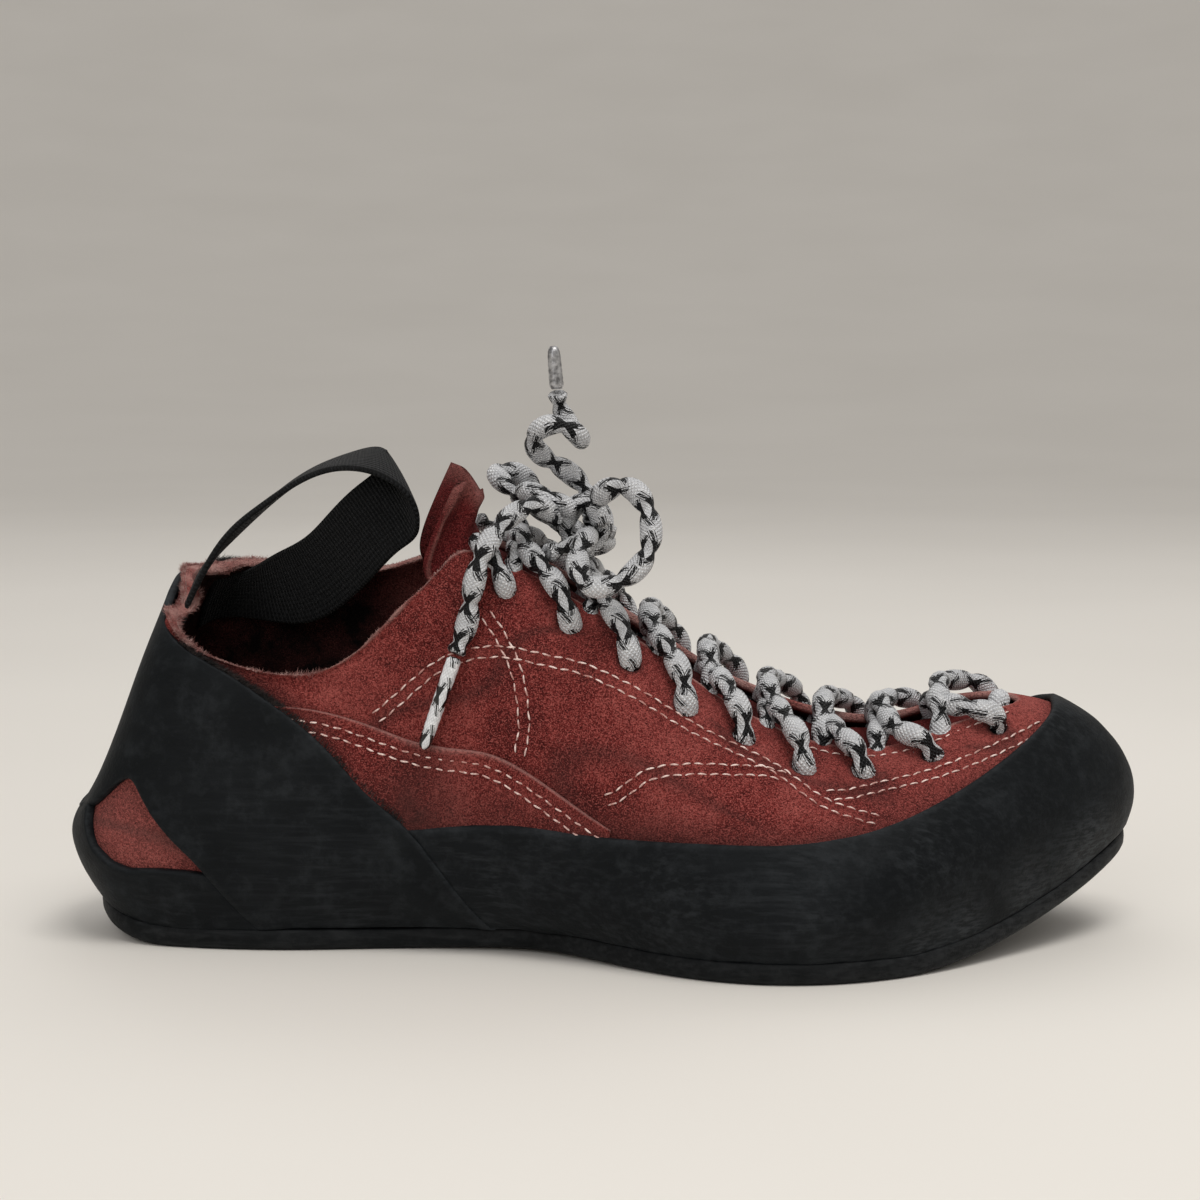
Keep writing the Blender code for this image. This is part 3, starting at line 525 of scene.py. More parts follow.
def suede(name, dark, mid, light, dirt_and_shade, raw):
    """Suede with mottled nap. Marks: red darkens it, for soiling, the black lining and painted shade round
    the eyelet holes and deep inside the shoe; green a raw fuzzy edge; blue pales it, for wear and for
    painted light towards the toe.
    """
    n = Nodes(name)
    place = n.place()
    grime_and_shade, edge, wear_and_light = n.marks()
    broad = n.noise(place, 34, 4, 0.6)
    patches = n.noise(place, 120, 5, 0.65)
    nap = n.noise(place, 1300, 3, 0.7)
    grain = n.noise(place, 2900, 1, 0.5)
    tone = n.add(n.times(broad, 0.5), n.times(patches, 0.5))
    tone = n.add(tone, n.times(n.math("SUBTRACT", nap, 0.5), 0.60))
    color = n.ramp(tone, (0.34, dark), (0.50, mid), (0.70, light))
    color = n.mix(n.ramp(grain, (0.36, 0.70), (0.50, 0.0)), color, dark)
    color = n.mix(n.ramp(grain, (0.52, 0.0), (0.64, 0.80)), color, light)
    # Paler for wear and for painted light; darker for soiling, the black lining and painted shade.
    color = n.mix(n.times(wear_and_light, n.ramp(nap, (0.35, 0.2), (0.65, 1.0))), color, light)
    color = n.mix(n.times(grime_and_shade, n.ramp(patches, (0.30, 0.55), (0.62, 1.05)), True), color, dirt_and_shade)
    color = n.mix(n.times(edge, n.ramp(nap, (0.25, 0.45), (0.60, 1.0))), color, raw)
    n.set(Base_Color=color, Roughness=n.ramp(patches, (0.3, 0.88), (0.7, 0.98)), Sheen_Weight=0.05,
          Sheen_Roughness=0.5, Sheen_Tint=(0.9, 0.4, 0.35, 1), Specular_IOR_Level=0.10)
    n.bump((patches, 0.0006), (nap, 0.0008), (grain, 0.00050))
    return n.made


def rubber(name, deep, grey, dust_and_sheen):
    """Black rubber. Marks: red is chalk and dusting, green abrasion along an edge, blue brush streaks,
    partly scuffs and partly painted highlights of the rubber's sheen.
    """
    n = Nodes(name)
    place = n.place()
    chalk, abrasion, brushing_and_sheen = n.marks()
    broad = n.noise(place, 45, 4, 0.6)
    cloud = n.noise(place, 190, 5, 0.7)
    fine = n.noise(place, 1400, 3, 0.6)
    streaks = n.noise(n.stretch(place, (60, 900, 700)), 1.0, 3, 0.6)
    scratches = n.noise(n.stretch(place, (160, 400, 1100)), 1.0, 3, 0.6)
    color = n.mix(n.ramp(broad, (0.35, 0.0), (0.70, 1.0)), deep, grey)
    color = n.mix(n.ramp(cloud, (0.50, 0.0), (0.76, 0.38)), color, dust_and_sheen)
    # Paler brush streaks: scuffs, and painted highlights of the rubber's sheen.
    color = n.mix(n.times(brushing_and_sheen, n.ramp(streaks, (0.47, 0.0), (0.70, 0.55))), color, dust_and_sheen)
    color = n.mix(n.times(chalk, n.ramp(cloud, (0.38, 0.1), (0.62, 1.0)), True), color, dust_and_sheen)
    color = n.mix(n.times(abrasion, n.ramp(scratches, (0.42, 0.15), (0.60, 1.0)), True), color, dust_and_sheen)
    rough = n.add(n.add(n.times(cloud, 0.30), 0.42), n.times(chalk, 0.15), True)
    n.set(Base_Color=color, Roughness=rough, Specular_IOR_Level=0.12)
    n.bump((cloud, 0.00030), (scratches, 0.00008), (fine, 0.00010))
    return n.made


def lace_finish(name, gloss, coat, relief, gaps):
    """Round braid with black tracers that cross at the necks. UV: u once round the lace, v counts
    beads along it."""
    n = Nodes(name)
    around, along = n.around_along()
    stray = n.math("SUBTRACT", n.noise(n.place(), 90, 1, 0.5), 0.5)
    past_neck = n.fold(along)
    reach = n.add(n.math("ABSOLUTE", past_neck), n.times(stray, 0.45))

    def arm(sign, length):
        """Dashed black threads side by side, running away from the neck."""
        turned = n.add(n.times(around, 3.0), n.times(past_neck, 1.15 * sign))
        off = n.fold(n.add(turned, n.times(stray, 1.10)))
        threads = n.less(n.fold(n.times(off, 4.6)), 0.37)
        dash = n.add(n.times(along, 7.0), n.times(off, 7.0 * sign))
        dashes = n.math("GREATER_THAN", n.math("FRACT", dash), 0.10)
        loose = n.times(n.times(threads, dashes), n.math("LESS_THAN", reach, length))
        packed = n.math("LESS_THAN", reach, 0.19)
        return n.times(n.less(off, 0.185), n.math("MAXIMUM", loose, packed))

    dark = n.math("MAXIMUM", arm(1, 0.40), arm(-1, 0.29))
    waves = [n.wave(n.add(n.times(around, turns), n.times(along, 11.0))) for turns in (13.0, -13.0)]
    weave = n.times(n.add(waves[0], 1.0), n.add(waves[1], 1.0))
    soft = n.noise(n.place(), 420, 4, 0.6)
    color = n.ramp(soft, (0.30, (0.66, 0.67, 0.69)), (0.55, (0.86, 0.87, 0.89)), (0.75, (0.96, 0.97, 0.98)))
    shade = n.ramp(n.times(weave, 0.25), (0.0, gaps), (0.22, 0.0))
    color = n.mix(shade, color, (0.12, 0.125, 0.14))
    color = n.mix(dark, color, (0.0010, 0.0012, 0.0020))
    n.set(Base_Color=color, Roughness=gloss, Specular_IOR_Level=0.3, Coat_Weight=coat, Coat_Roughness=0.12)
    n.bump((weave, relief), (soft, 0.0002))
    return n.made


def webbing(name, rib=0.0009, warp=0.0013):
    """Black ribbed webbing. UV in metres: u across its width, v along it."""
    n = Nodes(name)
    across, along = n.around_along()
    weave = n.add(n.wave(n.times(along, 1 / rib)), n.times(n.wave(n.times(across, 1 / warp)), 0.5))
    lint = n.noise(n.place(), 900, 4, 0.7)
    color = n.ramp(n.add(n.times(weave, 0.12), lint), (0.35, (0.0015, 0.0018, 0.0022)),
                   (0.60, (0.0045, 0.0052, 0.0060)), (0.90, (0.022, 0.023, 0.025)))
    n.set(Base_Color=color, Roughness=0.8, Sheen_Weight=0.05, Specular_IOR_Level=0.2)
    n.bump((weave, 0.00022), (lint, 0.0002))
    return n.made


def thread(name, light, dark):
    n = Nodes(name)
    place = n.place()
    n.set(Base_Color=n.ramp(n.noise(place, 420, 4, 0.7), (0.40, dark), (0.60, light)), Roughness=0.75)
    n.bump((n.noise(place, 5000, 2, 0.5), 0.0001))
    return n.made


def metal_tip(name):
    """Thin metal, rubbed and a little dark."""
    n = Nodes(name)
    rubbed = n.noise(n.place(), 700, 3, 0.6)
    n.set(Base_Color=n.ramp(rubbed, (0.35, (0.16, 0.16, 0.165)), (0.65, (0.50, 0.50, 0.51))),
          Roughness=n.ramp(rubbed, (0.3, 0.28), (0.7, 0.46)), Metallic=0.75)
    n.bump((rubbed, 0.00006))
    return n.made


def plain_floor(name):
    n = Nodes(name)
    soft = n.noise(n.place(), 3, 2, 0.5)
    n.set(Base_Color=n.ramp(soft, (0.3, (0.76, 0.73, 0.68)), (0.7, (0.79, 0.76, 0.71))), Roughness=0.75)
    return n.made


SUEDE = suede("suede", (0.060, 0.007, 0.007), (0.200, 0.028, 0.025), (0.42, 0.105, 0.090),
              (0.040, 0.018, 0.017), (0.50, 0.290, 0.260))
SUEDE_TONGUE = suede("suede_tongue", (0.05, 0.004, 0.005), (0.13, 0.012, 0.013), (0.24, 0.045, 0.042),
                     (0.03, 0.006, 0.006), (0.34, 0.150, 0.130))
RUBBER_BLACK = rubber("rand_rubber", (0.0024, 0.0036, 0.0046), (0.0050, 0.0066, 0.0080),
                      (0.032, 0.036, 0.040))
SOLE_RUBBER = rubber("sole_rubber", (0.0026, 0.0034, 0.0040), (0.0052, 0.0064, 0.0074),
                     (0.030, 0.032, 0.034))
LACE = lace_finish("lace_braid", 0.36, 0.0, 0.00012, 0.55)
WEB = webbing("webbing")
FUZZ_PALE = thread("fuzz_pale", (0.52, 0.33, 0.30), (0.26, 0.090, 0.080))
FUZZ_DARK = thread("fuzz_dark", (0.030, 0.020, 0.019), (0.006, 0.006, 0.006))
THREAD = thread("thread", (0.95, 0.76, 0.70), (0.46, 0.22, 0.19))
TIP = lace_finish("aglet", 0.22, 1.0, 0.00001, 0.25)
FAR_TIP = metal_tip("aglet_metal")
# Inside of the upper: its darkest colour stands for the black lining and for painted shade deep in the
# shoe.
INNER = suede("inner_lining", (0.050, 0.010, 0.009), (0.14, 0.030, 0.027), (0.24, 0.080, 0.070),
              (0.0022, 0.0018, 0.0018), (0.30, 0.12, 0.10))
LINING = suede("lining", (0.010, 0.008, 0.008), (0.030, 0.022, 0.022), (0.06, 0.045, 0.045),
               (0.02, 0.02, 0.02), (0.08, 0.06, 0.06))
FLOOR = plain_floor("floor")


# Meshes

def add_piece(name, mesh, finish, slot, *nodes):
    """A piece of the shoe, standing for these nodes of the solids."""
    piece = bpy.data.objects.new(name, mesh)
    mesh.materials.append(finish)
    scene.collection.objects.link(piece)
    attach(piece, "root")
    if nodes:
        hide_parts(*nodes)
    return piece


def mesh_of(name, verts, faces, smooth=True):
    mesh = bpy.data.meshes.new(name)
    mesh.from_pydata(verts.reshape(-1, 3).tolist(), [], faces)
    mesh.update()
    if smooth:
        mesh.shade_smooth()
    return mesh


def ring_faces(count, per, wrap=False, first=0):
    """Faces between rings of points numbered from first. Wrap joins the last ring to the first,
    and without it the two ends are capped."""
    i, j = np.meshgrid(np.arange(count if wrap else count - 1), np.arange(per), indexing="ij")
    here, ahead, beside = i * per, (i + 1) % count * per, (j + 1) % per
    faces = np.stack([here + j, here + beside, ahead + beside, ahead + j], -1).reshape(-1, 4) + first
    ring = np.arange(first, first + per)
    caps = [] if wrap else [ring[::-1].tolist(), (ring + (count - 1) * per).tolist()]
    return faces.tolist() + caps


def write_uv(mesh, u, v, seam=()):
    """UVs of a loft: u round its rings, v from ring to ring, and u = 1 at the corners in seam."""
    corner = np.empty(len(mesh.loops), np.int32)
    mesh.loops.foreach_get("vertex_index", corner)
    uv = np.stack(np.meshgrid(u, v), -1).reshape(-1, 2)[corner]
    uv[seam, 0] = 1.0
    mesh.uv_layers.new(name="UVMap").data.foreach_set("uv", uv.astype(np.float32).ravel())


def loft(name, rings, wrap=False, marks=None):
    """A closed mesh through rings of points, with marks for its material at each point."""
    mesh = mesh_of(name, rings, ring_faces(*rings.shape[:2], wrap))
    if marks is not None:
        values = np.concatenate([marks, np.ones(marks.shape[:-1] + (1,))], -1)
        layer = mesh.attributes.new("marks", "FLOAT_COLOR", "POINT")
        layer.data.foreach_set("color", values.astype(np.float32).ravel())
    return mesh


def join_lofts(name, lofts):
    """One mesh from many closed lofts."""
    faces, first = [], 0
    for rings in lofts:
        count, per = rings.shape[:2]
        faces += ring_faces(count, per, first=first)
        first += count * per
    return mesh_of(name, np.concatenate(lofts), faces)


def turns(count):
    """Equal turns once round."""
    return np.linspace(0, 2 * math.pi, count + 1)[:-1]


def tube(line, side, up, radius, turn):
    """Rings round a line at these turns from side to up, with a radius for each point."""
    turn = turn[None, :, None]
    ring = np.cos(turn) * side[..., None, :] + np.sin(turn) * up[..., None, :]
    return line[:, None, :] + radius[..., None] * ring


def round_mesh(name, line, side, up, radius, turn, v):
    """A tube's mesh, with u once round it and v along it."""
    mesh = loft(name, tube(line, side, up, radius, turn))
    last = 4 * (np.arange(1, len(line)) * len(turn) - 1)
    write_uv(mesh, turn / (2 * math.pi), v, np.concatenate([last + 1, last + 2]))
    return mesh


def edge_profile(thickness, steps, bevel):
    """Across a skin: places as (share from the foot to the top, least offset from either edge,
    lift), up over the outside and back along the inside."""
    foot = [(0, offset, SKIN_BASE + share * thickness) for offset, share in (
        (0.0, 0.0), (0.0, 0.55), (0.25 * bevel, 0.85), (bevel, 1.0))]
    outside = [(share, bevel, SKIN_BASE + thickness) for share in np.linspace(0, 1, steps)[1:-1]]
    top = [(1, offset, lift) for _, offset, lift in foot[::-1]]
    return foot + outside + top + [(share, bevel, SKIN_BASE) for share in (0.75, 0.5, 0.25)]


def skin(name, node, low, high, thickness, finish, slot, steps, extra, marks, bevel=RUBBER_BEVEL):
    """A skin on the form between two lines of (station, rise), with bevelled edges all round.
    Extra is added to the lift of its outside, and marks are for its material."""
    width = np.maximum(np.linalg.norm(form(*high.T) - form(*low.T), axis=1), 1e-6)
    end, offset, lift = np.array(edge_profile(thickness, steps, bevel)).T
    margin = np.minimum(offset / width[:, None], 0.3)
    share = margin + (1 - 2 * margin) * end
    station, rise = (low[:, None, k] * (1 - share) + high[:, None, k] * share for k in (0, 1))
    fade = np.ones((len(low), 1))
    fade[[0, -1]] = 0.55
    fade[[1, -2]] = 0.9
    lift = SKIN_BASE + (lift - SKIN_BASE) * fade
    proud = lift > SKIN_BASE + 0.3 * thickness
    lift = lift + np.where(proud, extra(station, rise, share), 0.0)
    mesh = loft(name, form(station, rise, lift), marks=marks(station, rise, share))
    add_piece(name, mesh, finish, slot, node)


def foot_line(station, ends, fade):
    """The foot of a rand on the sole. Near its ends it slides to these end stations."""
    share = (station - station[0]) / (station[-1] - station[0])
    foot = station + (ends[0] - station[0]) * np.clip(1 - share / fade, 0, 1)
    foot = foot + (ends[1] - station[-1]) * np.clip(1 - (1 - share) / fade, 0, 1)
    return np.stack([foot, foot_rise(foot, SKIN_GAP + RUBBER) - FOOT_DIP], 1)


def under_band(station, rise, ease=0.0016):
    """1 well under the heel band, 0 outside it, fading over ease metres inside its outline."""
    outline = BAND_FRONT + BAND_BACK[::-1]
    at, within = from_heel(station), np.zeros(np.shape(rise), bool)
    for (s0, r0), (s1, r1) in zip(outline, outline[1:] + outline[:1]):
        crosses = (r0 > rise) != (r1 > rise)
        reach = s0 + (rise - r0) * (s1 - s0) / (r1 - r0 if r1 != r0 else 1)
        within ^= crosses & (at < reach)
    places = form(at, rise)
    rim = np.maximum(near_line(places, BAND_FRONT, ease), near_line(places, BAND_BACK, ease))
    return np.where(within, 1 - rim, 0.0)


# Fibres

def fuzz(name, roots, ways, width, finish, seed):
    """Short loose fibres, each one thin triangle from its root along its way."""
    draw = np.random.default_rng(seed)
    across = unit(np.cross(ways, draw.normal(size=ways.shape))) * width / 2
    verts = np.stack([roots - across, roots + across, roots + ways], 1)
    faces = np.arange(3 * len(roots)).reshape(-1, 3).tolist()
    add_piece(name, mesh_of(name, verts, faces, smooth=False), finish, "suede_red")


def rim_fuzz(points, rows, count=COLLAR_FIBRES):
    """Fibres round the raw edge of the collar, from the grid of the upper's own points."""
    draw = np.random.default_rng(5)
    at = draw.uniform(-6.6, 6.6, count)
    at = np.where(draw.random(count) < 0.35, draw.uniform(-3.2, 3.2, count), at) % STATIONS
    column = at / STATIONS * len(points)
    low = column.astype(int) % len(points)
    share = (column - np.floor(column))[:, None]
    row = draw.integers(rows[0], rows[1] + 1, count)
    roots = points[low, row] * (1 - share) + points[(low + 1) % len(points), row] * share
    core = (points[low, rows[0] - 4] + points[low, rows[1] + 1]) / 2
    ways = unit(roots - core)
    ways = unit(ways + draw.normal(scale=0.55, size=ways.shape))
    long = np.where(from_heel(at) < 3.4, HEEL_FIBRE, FLAP_FIBRE)
    long = long * draw.uniform(0.35, 1.0, count) * (0.7 + 0.5 * noise(roots, 0.008, 91))
    fuzz("collar_fuzz", roots, ways * long[:, None], COLLAR_FIBRE_WIDTH, FUZZ_PALE, 6)


def band_fuzz(count=BAND_FIBRES):
    """A dark fringe where the heel band's front edge meets the suede."""
    draw = np.random.default_rng(15)
    line = smooth_line(BAND_SEEN_FRONT, 400)
    roots, ways = [], []
    for inner_side in (False, True):
        station, rise = line[draw.integers(0, 399, count)].T
        if inner_side:
            station = STATIONS - station
        roots.append(form(station, rise, draw.uniform(0.0002, 0.0016, count)))
        start = form(station, rise, 0.0008)
        ahead = form(station, rise + 0.02, 0.0012) - start
        toe = form(station + (-0.1 if inner_side else 0.1), rise, 0.0012) - start
        way = unit(ahead) + unit(toe)
        way += draw.normal(scale=0.45, size=way.shape)
        ways.append(unit(way) * draw.uniform(*BAND_FIBRE, count)[:, None])
    roots, ways = np.concatenate(roots), np.concatenate(ways)
    fuzz("band_fuzz", roots, ways, BAND_FIBRE_WIDTH, FUZZ_DARK, 16)


# Upper

# A crease is a line of (station, rise), its half width and its depth; a ridge has a negative depth
CREASES = [
    ([(3.9, 0.80), (4.3, 0.70), (4.6, 0.60)], 0.0060, 0.0005),
    ([(4.9, 0.90), (5.1, 0.78), (5.2, 0.66)], 0.0070, 0.0006),
    ([(2.2, 0.97), (2.7, 0.86), (3.3, 0.80)], 0.0040, 0.0006),
    ([(6.3, 0.70), (6.5, 0.62), (6.6, 0.52)], 0.0080, 0.0005),
    ([(7.6, 0.62), (8.0, 0.55), (8.2, 0.47)], 0.0060, 0.0006),
    ([(8.9, 0.74), (9.2, 0.66), (9.6, 0.60)], 0.0060, 0.0007),
    ([(11.2, 0.80), (11.7, 0.78), (12.2, 0.82)], 0.0040, 0.0006),
    ([(17.4, 0.70), (17.2, 0.60), (17.1, 0.50)], 0.0070, 0.0007),
    ([(20.6, 0.84), (20.8, 0.70), (21.0, 0.55)], 0.0080, 0.0006),
    ([(22.4, 0.86), (22.0, 0.74), (21.8, 0.60)], 0.0070, 0.0007),
]
# The collar's fold at the heel, where the whole rim turns in and out again
COLLAR_FOLDS = [
    ([(0.45, 1.05), (0.50, 0.97)], 0.0042, 0.0032),
    ([(1.10, 1.05), (1.15, 1.00)], 0.0036, -0.0020),
    ([(24.6, 1.05), (24.5, 0.97)], 0.0060, 0.0016),
]
# Across the rim, from the outside over the edge: rise, and lift as a share of the wall
RIM = [(0.994, -0.12), (1.0, -0.35), (1.0, -0.65), (0.994, -0.88)]
BAND_SEEN_FRONT = BAND_FRONT[3:-2]
SEAMS = (SEAM_VAMP, SEAM_ARC, SEAM_QUARTER, SEAM_BALL)


def folded(base, folds):
    """How deep these folds press the surface in at each place of base."""
    return sum(deep * soft_step(near_line(base, line, 2 * width), 0, 1) for line, width, deep in folds)


def upper_marks(base, station, columns, rises, gaps, inside):
    """Dirt and painted shade, raw edge, and wear and painted light of the upper, at gaps from its eyelets.
    """
    side = from_heel(columns)
    rand = line_rise(RAND_TOP, np.clip(station, RAND_TOP[0][0], RAND_TOP[-1][0]))[:, None]
    over_rand = np.where((columns > 4.3) & (columns < 21.7), rises - rand, 1.0)
    grime_and_shade = np.clip(1 - np.abs(over_rand) / 0.10, 0, 1) ** 1.6
    grime_and_shade = grime_and_shade * (0.75 - 0.5 * soft_step(columns, 9.0, 10.5))
    blotches = soft_step(0.2 - np.abs(noise(base, 0.05, 21)), 0.0, 0.2) * (rises < 0.75)
    # Darker layers: dirt low down, along the heel band's edge and in blotches, and painted shade round each
    # eyelet hole.
    for layer in [1 - soft_step(rises, 0.06, 0.14), 0.9 * near_line(base, BAND_SEEN_FRONT, 0.006),
                  0.55 * blotches] + [1 - soft_step(gap, 0.0020, 0.0042) for gap in gaps]:
        grime_and_shade = np.maximum(grime_and_shade, layer)
    # Inside: black lining at the heel, and painted shade low down in the shoe.
    lining = 1 - soft_step(side, 3.6, 4.8) * soft_step(rises, 0.35, 0.65)
    grime_and_shade[:, inside] = lining[:, inside]
    edge = np.clip(soft_step(rises, 0.965, 0.992) * (0.75 + 0.5 * noise(base, 0.01, 6)), 0, 1)
    edge[:, inside] *= 0.6
    window = (1 - soft_step(side, 2.0, 2.6)) * (1 - soft_step(rises, 0.45, 0.55))
    edge = np.maximum(edge, 0.12 * window)
    # Paler towards the toe: wear, and painted light where the toe faces the light.
    toward_toe = soft_step(columns, 8.4, 11.0) * (1 - soft_step(columns, 15.0, 17.6))
    wear_and_light = 0.45 * patchy(base, 0.05, 31, 0, 0.55)
    for layer in (0.35 * near_line(base, SEAM_ARC, 0.004), 0.22 * window,
                  toward_toe * (0.60 + 0.3 * noise(base, 0.03, 32))):
        wear_and_light = np.maximum(wear_and_light, layer)
    return np.stack([grime_and_shade, edge, wear_and_light], -1)


def make_upper():
    station = np.arange(0, STATIONS, 1 / 20)
    outer_rise = np.concatenate([np.linspace(0, 0.60, 44)[:-1], np.linspace(0.60, 0.985, 46)])
    inner_rise = np.linspace(0.97, 0.0, 16)
    edge_rise, edge_lift = np.array(RIM).T
    rise = np.concatenate([outer_rise, edge_rise, inner_rise])
    depth = np.concatenate([np.zeros(len(outer_rise)), edge_lift * WALL, np.full(len(inner_rise), -WALL)])
    columns, rises = np.meshgrid(station, rise, indexing="ij")
    base = form(columns, rises, 0.0)
    side = from_heel(columns)
    outside = np.arange(len(rise)) < len(outer_rise) + 2
    inside = np.arange(len(rise)) >= len(outer_rise) + len(RIM)
    gaps = [np.linalg.norm(base - form(*place), axis=2) for place in EYELETS + mirror_seam(EYELETS)]

    proud = 0.00035 * noise(base, 0.045, 3) + 0.00012 * noise(base, 0.012, 4) - folded(base, CREASES)
    for seam in SEAMS:
        for line in (seam, mirror_seam(seam)):
            proud -= SEAM_DENT * near_line(base, line, 0.0030)
    for gap in gaps:
        proud -= EYELET_PUNCH * (1 - soft_step(gap, 0.0012, 0.0030))
        proud -= EYELET_DISH * (1 - soft_step(gap, 0.003, 0.008))
    collar = (1 - soft_step(side, 4.4, 5.4)) * soft_step(rises, 0.955, 0.985)
    swollen = collar * np.where(outside, 1.0, -1.0) * (0.0010 + 0.0005 * noise(base, 0.010, 12))
    lift = depth + np.where(outside, proud, 0.0) - folded(base, COLLAR_FOLDS) + swollen

    at = np.linspace(0, len(EYELETS) - 1, 161)
    between = np.interp(at, np.arange(len(EYELETS)), [eyelet for eyelet, _ in EYELETS])
    scallop = np.interp(side, between, 0.5 - 0.5 * np.cos(2 * math.pi * at), left=0, right=0)
    scallop *= soft_step(side, 6.2, 6.8) * (1 - soft_step(side, 10.8, 11.3))
    wave = 0.010 * noise(base, 0.022, 9) + 0.006 * noise(base, 0.006, 10) + 0.022 * scallop
    rises = rises + wave * soft_step(rises, 0.90, 1.0)

    points = form(columns, rises, lift)
    marks = upper_marks(base, station, columns, rises, gaps, inside)
    mesh = loft("upper_suede", points, wrap=True, marks=marks)
    add_piece("upper_suede", mesh, SUEDE, "suede_red", "upper")
    mesh.materials.append(INNER)
    inner_face = np.zeros(points.shape[:2], int)
    inner_face[:, len(outer_rise) + len(RIM) : -1] = 1
    mesh.polygons.foreach_set("material_index", inner_face.ravel())
    rim_fuzz(points, (len(outer_rise) - 1, len(outer_rise) + 3))
    band_fuzz()


# Rubber

def hand_laid(station, rise, share):
    """The slight waves of hand-laid rubber, pressed flat under the band."""
    base = form(station, rise)
    wavy = 0.00022 * noise(base, 0.03, 41) + 0.0001 * noise(base, 0.009, 42)
    return wavy - 0.65 * RUBBER * under_band(station, rise)


def rand_marks(station, rise, share):
    base = form(station, rise)
    chalk = 0.55 * patchy(base, 0.03, 51, soft_step(share, 0.93, 1.0) * 0.55, 0.4)
    front = soft_step(station, 8.5, 11.0) * (1 - soft_step(station, 15.0, 17.5))
    scuff = front * np.clip(1.3 - share / 0.36, 0, 1) * (0.75 + 0.6 * noise(base, 0.02, 52))
    return np.stack([chalk, np.clip(scuff, 0, 1), 0.8 * patchy(base, 0.04, 53, 0.5, 0.6)], -1)


def band_lift(station, rise, share):
    over = np.maximum(soft_step(share, 0.88, 0.96), 1 - soft_step(share, 0.04, 0.12)) * (rise < 0.33)
    return 0.0004 * over + 0.00018 * noise(form(station, rise), 0.03, 43)


def band_marks(station, rise, share):
    base = form(station, rise)
    rims = np.maximum(soft_step(share, 0.965, 1.0), 1 - soft_step(share, 0.0, 0.03))
    chalk = 0.6 * patchy(base, 0.03, 54, 0.5 * rims, 0.35)
    return np.stack([chalk, 0.3 * rims, 0.7 * patchy(base, 0.05, 55, 0.5, 0.6)], -1)


def make_rubber():
    def rubber_skin(node, low, high, steps, extra, marks):
        skin(node + "_rubber", node, low, high, RUBBER, RUBBER_BLACK, "rand_rubber", steps, extra, marks)

    station = np.linspace(RAND_TOP[0][0], RAND_TOP[-1][0], 340)
    high = np.stack([station, line_rise(RAND_TOP, station)], 1)
    rubber_skin("toe_rand", foot_line(station, RAND_FOOT, TOE_RAND_SLIDE), high, 44, hand_laid, rand_marks)

    front, back = mirrored(BAND_FRONT), mirrored(BAND_BACK)
    weights = spline_weights(np.linspace(0, 1, len(front)), np.linspace(0, 1, 300))
    high, low = (weights @ line for line in (front, back))
    for line in (high, low):
        line[:, 1] = np.maximum(line[:, 1], foot_rise(line[:, 0], SKIN_GAP + RUBBER))
    rubber_skin("heel_band", low[::-1], high[::-1], 44, band_lift, band_marks)

    top = mirrored(HEEL_RAND_TOP)
    top = top[np.argsort(top[:, 0])]
    station = np.linspace(-HEEL_RAND_TOP[0][0], HEEL_RAND_TOP[0][0], 180)
    high = np.stack([station, np.interp(station, *top.T)], 1)
    high[1:-1, 1] = (high[:-2, 1] + high[1:-1, 1] + high[2:, 1]) / 3
    low = foot_line(station, (-HEEL_RAND_FOOT, HEEL_RAND_FOOT), HEEL_RAND_SLIDE)
    rubber_skin("heel_rand", low, high, 26, hand_laid, band_marks)


# Sole and insole

def plan_outline(lift):
    """The form's edge from above, moved out by lift."""
    ring = form(np.arange(0, STATIONS, 1 / 18), 0.0)[:, :2]
    ahead = np.roll(ring, -1, axis=0) - np.roll(ring, 1, axis=0)
    return ring + unit(np.stack([ahead[:, 1], -ahead[:, 0]], axis=1)) * lift


def plate(name, node, profile, sections, finish, slot, marks=None):
    """A plate lofted along the shoe. The profile runs from its top edge round to its underside, as
    (lift in plan, height above the sole's underside)."""
    share = (1 - np.cos(np.linspace(0.035, math.pi - 0.035, sections))) / 2
    outer, inner = [], []
    for lift, height in profile:
        ring = plan_outline(lift)
        ring = np.roll(ring, -ring[:, 0].argmin(), axis=0)
        toe = ring[:, 0].argmax()
        along = ring[0, 0] + (ring[toe, 0] - ring[0, 0]) * share
        rise = sole_rise(along - SHIFT[0]) + height
        back = np.append(ring[toe:], ring[:1], axis=0)[::-1]
        for side, edge in ((outer, ring[: toe + 1]), (inner, back)):
            side.append(np.stack([along, np.interp(along, *edge.T), rise], 1))
    top = [inner[0] * (1 - s) + outer[0] * s for s in np.linspace(0, 1, 9)[1:-1]]
    under = [outer[-1] * (1 - s) + inner[-1] * s for s in np.linspace(0, 1, 25)[1:-1]]
    grid = np.stack(outer + under + inner[::-1] + top, 1)
    add_piece(name, loft(name, grid, marks=marks and marks(grid)), finish, slot, node)


def sole_marks(grid):
    rise = grid[..., 2] - sole_rise(grid[..., 0] - SHIFT[0])
    side = rise > 0.0002
    toe = soft_step(grid[..., 0], 0.12, 0.20)
    chalk = np.where(side, 0.10 + 0.20 * noise(grid, 0.03, 61), 0.35 + 0.4 * noise(grid, 0.05, 62))
    scuff = np.where(side, 0.15 * (rise < 0.002) + 0.6 * toe, 0.35)
    return np.clip(np.stack([chalk * 0.6, scuff, np.full(rise.shape, 0.6)], -1), 0, 1)


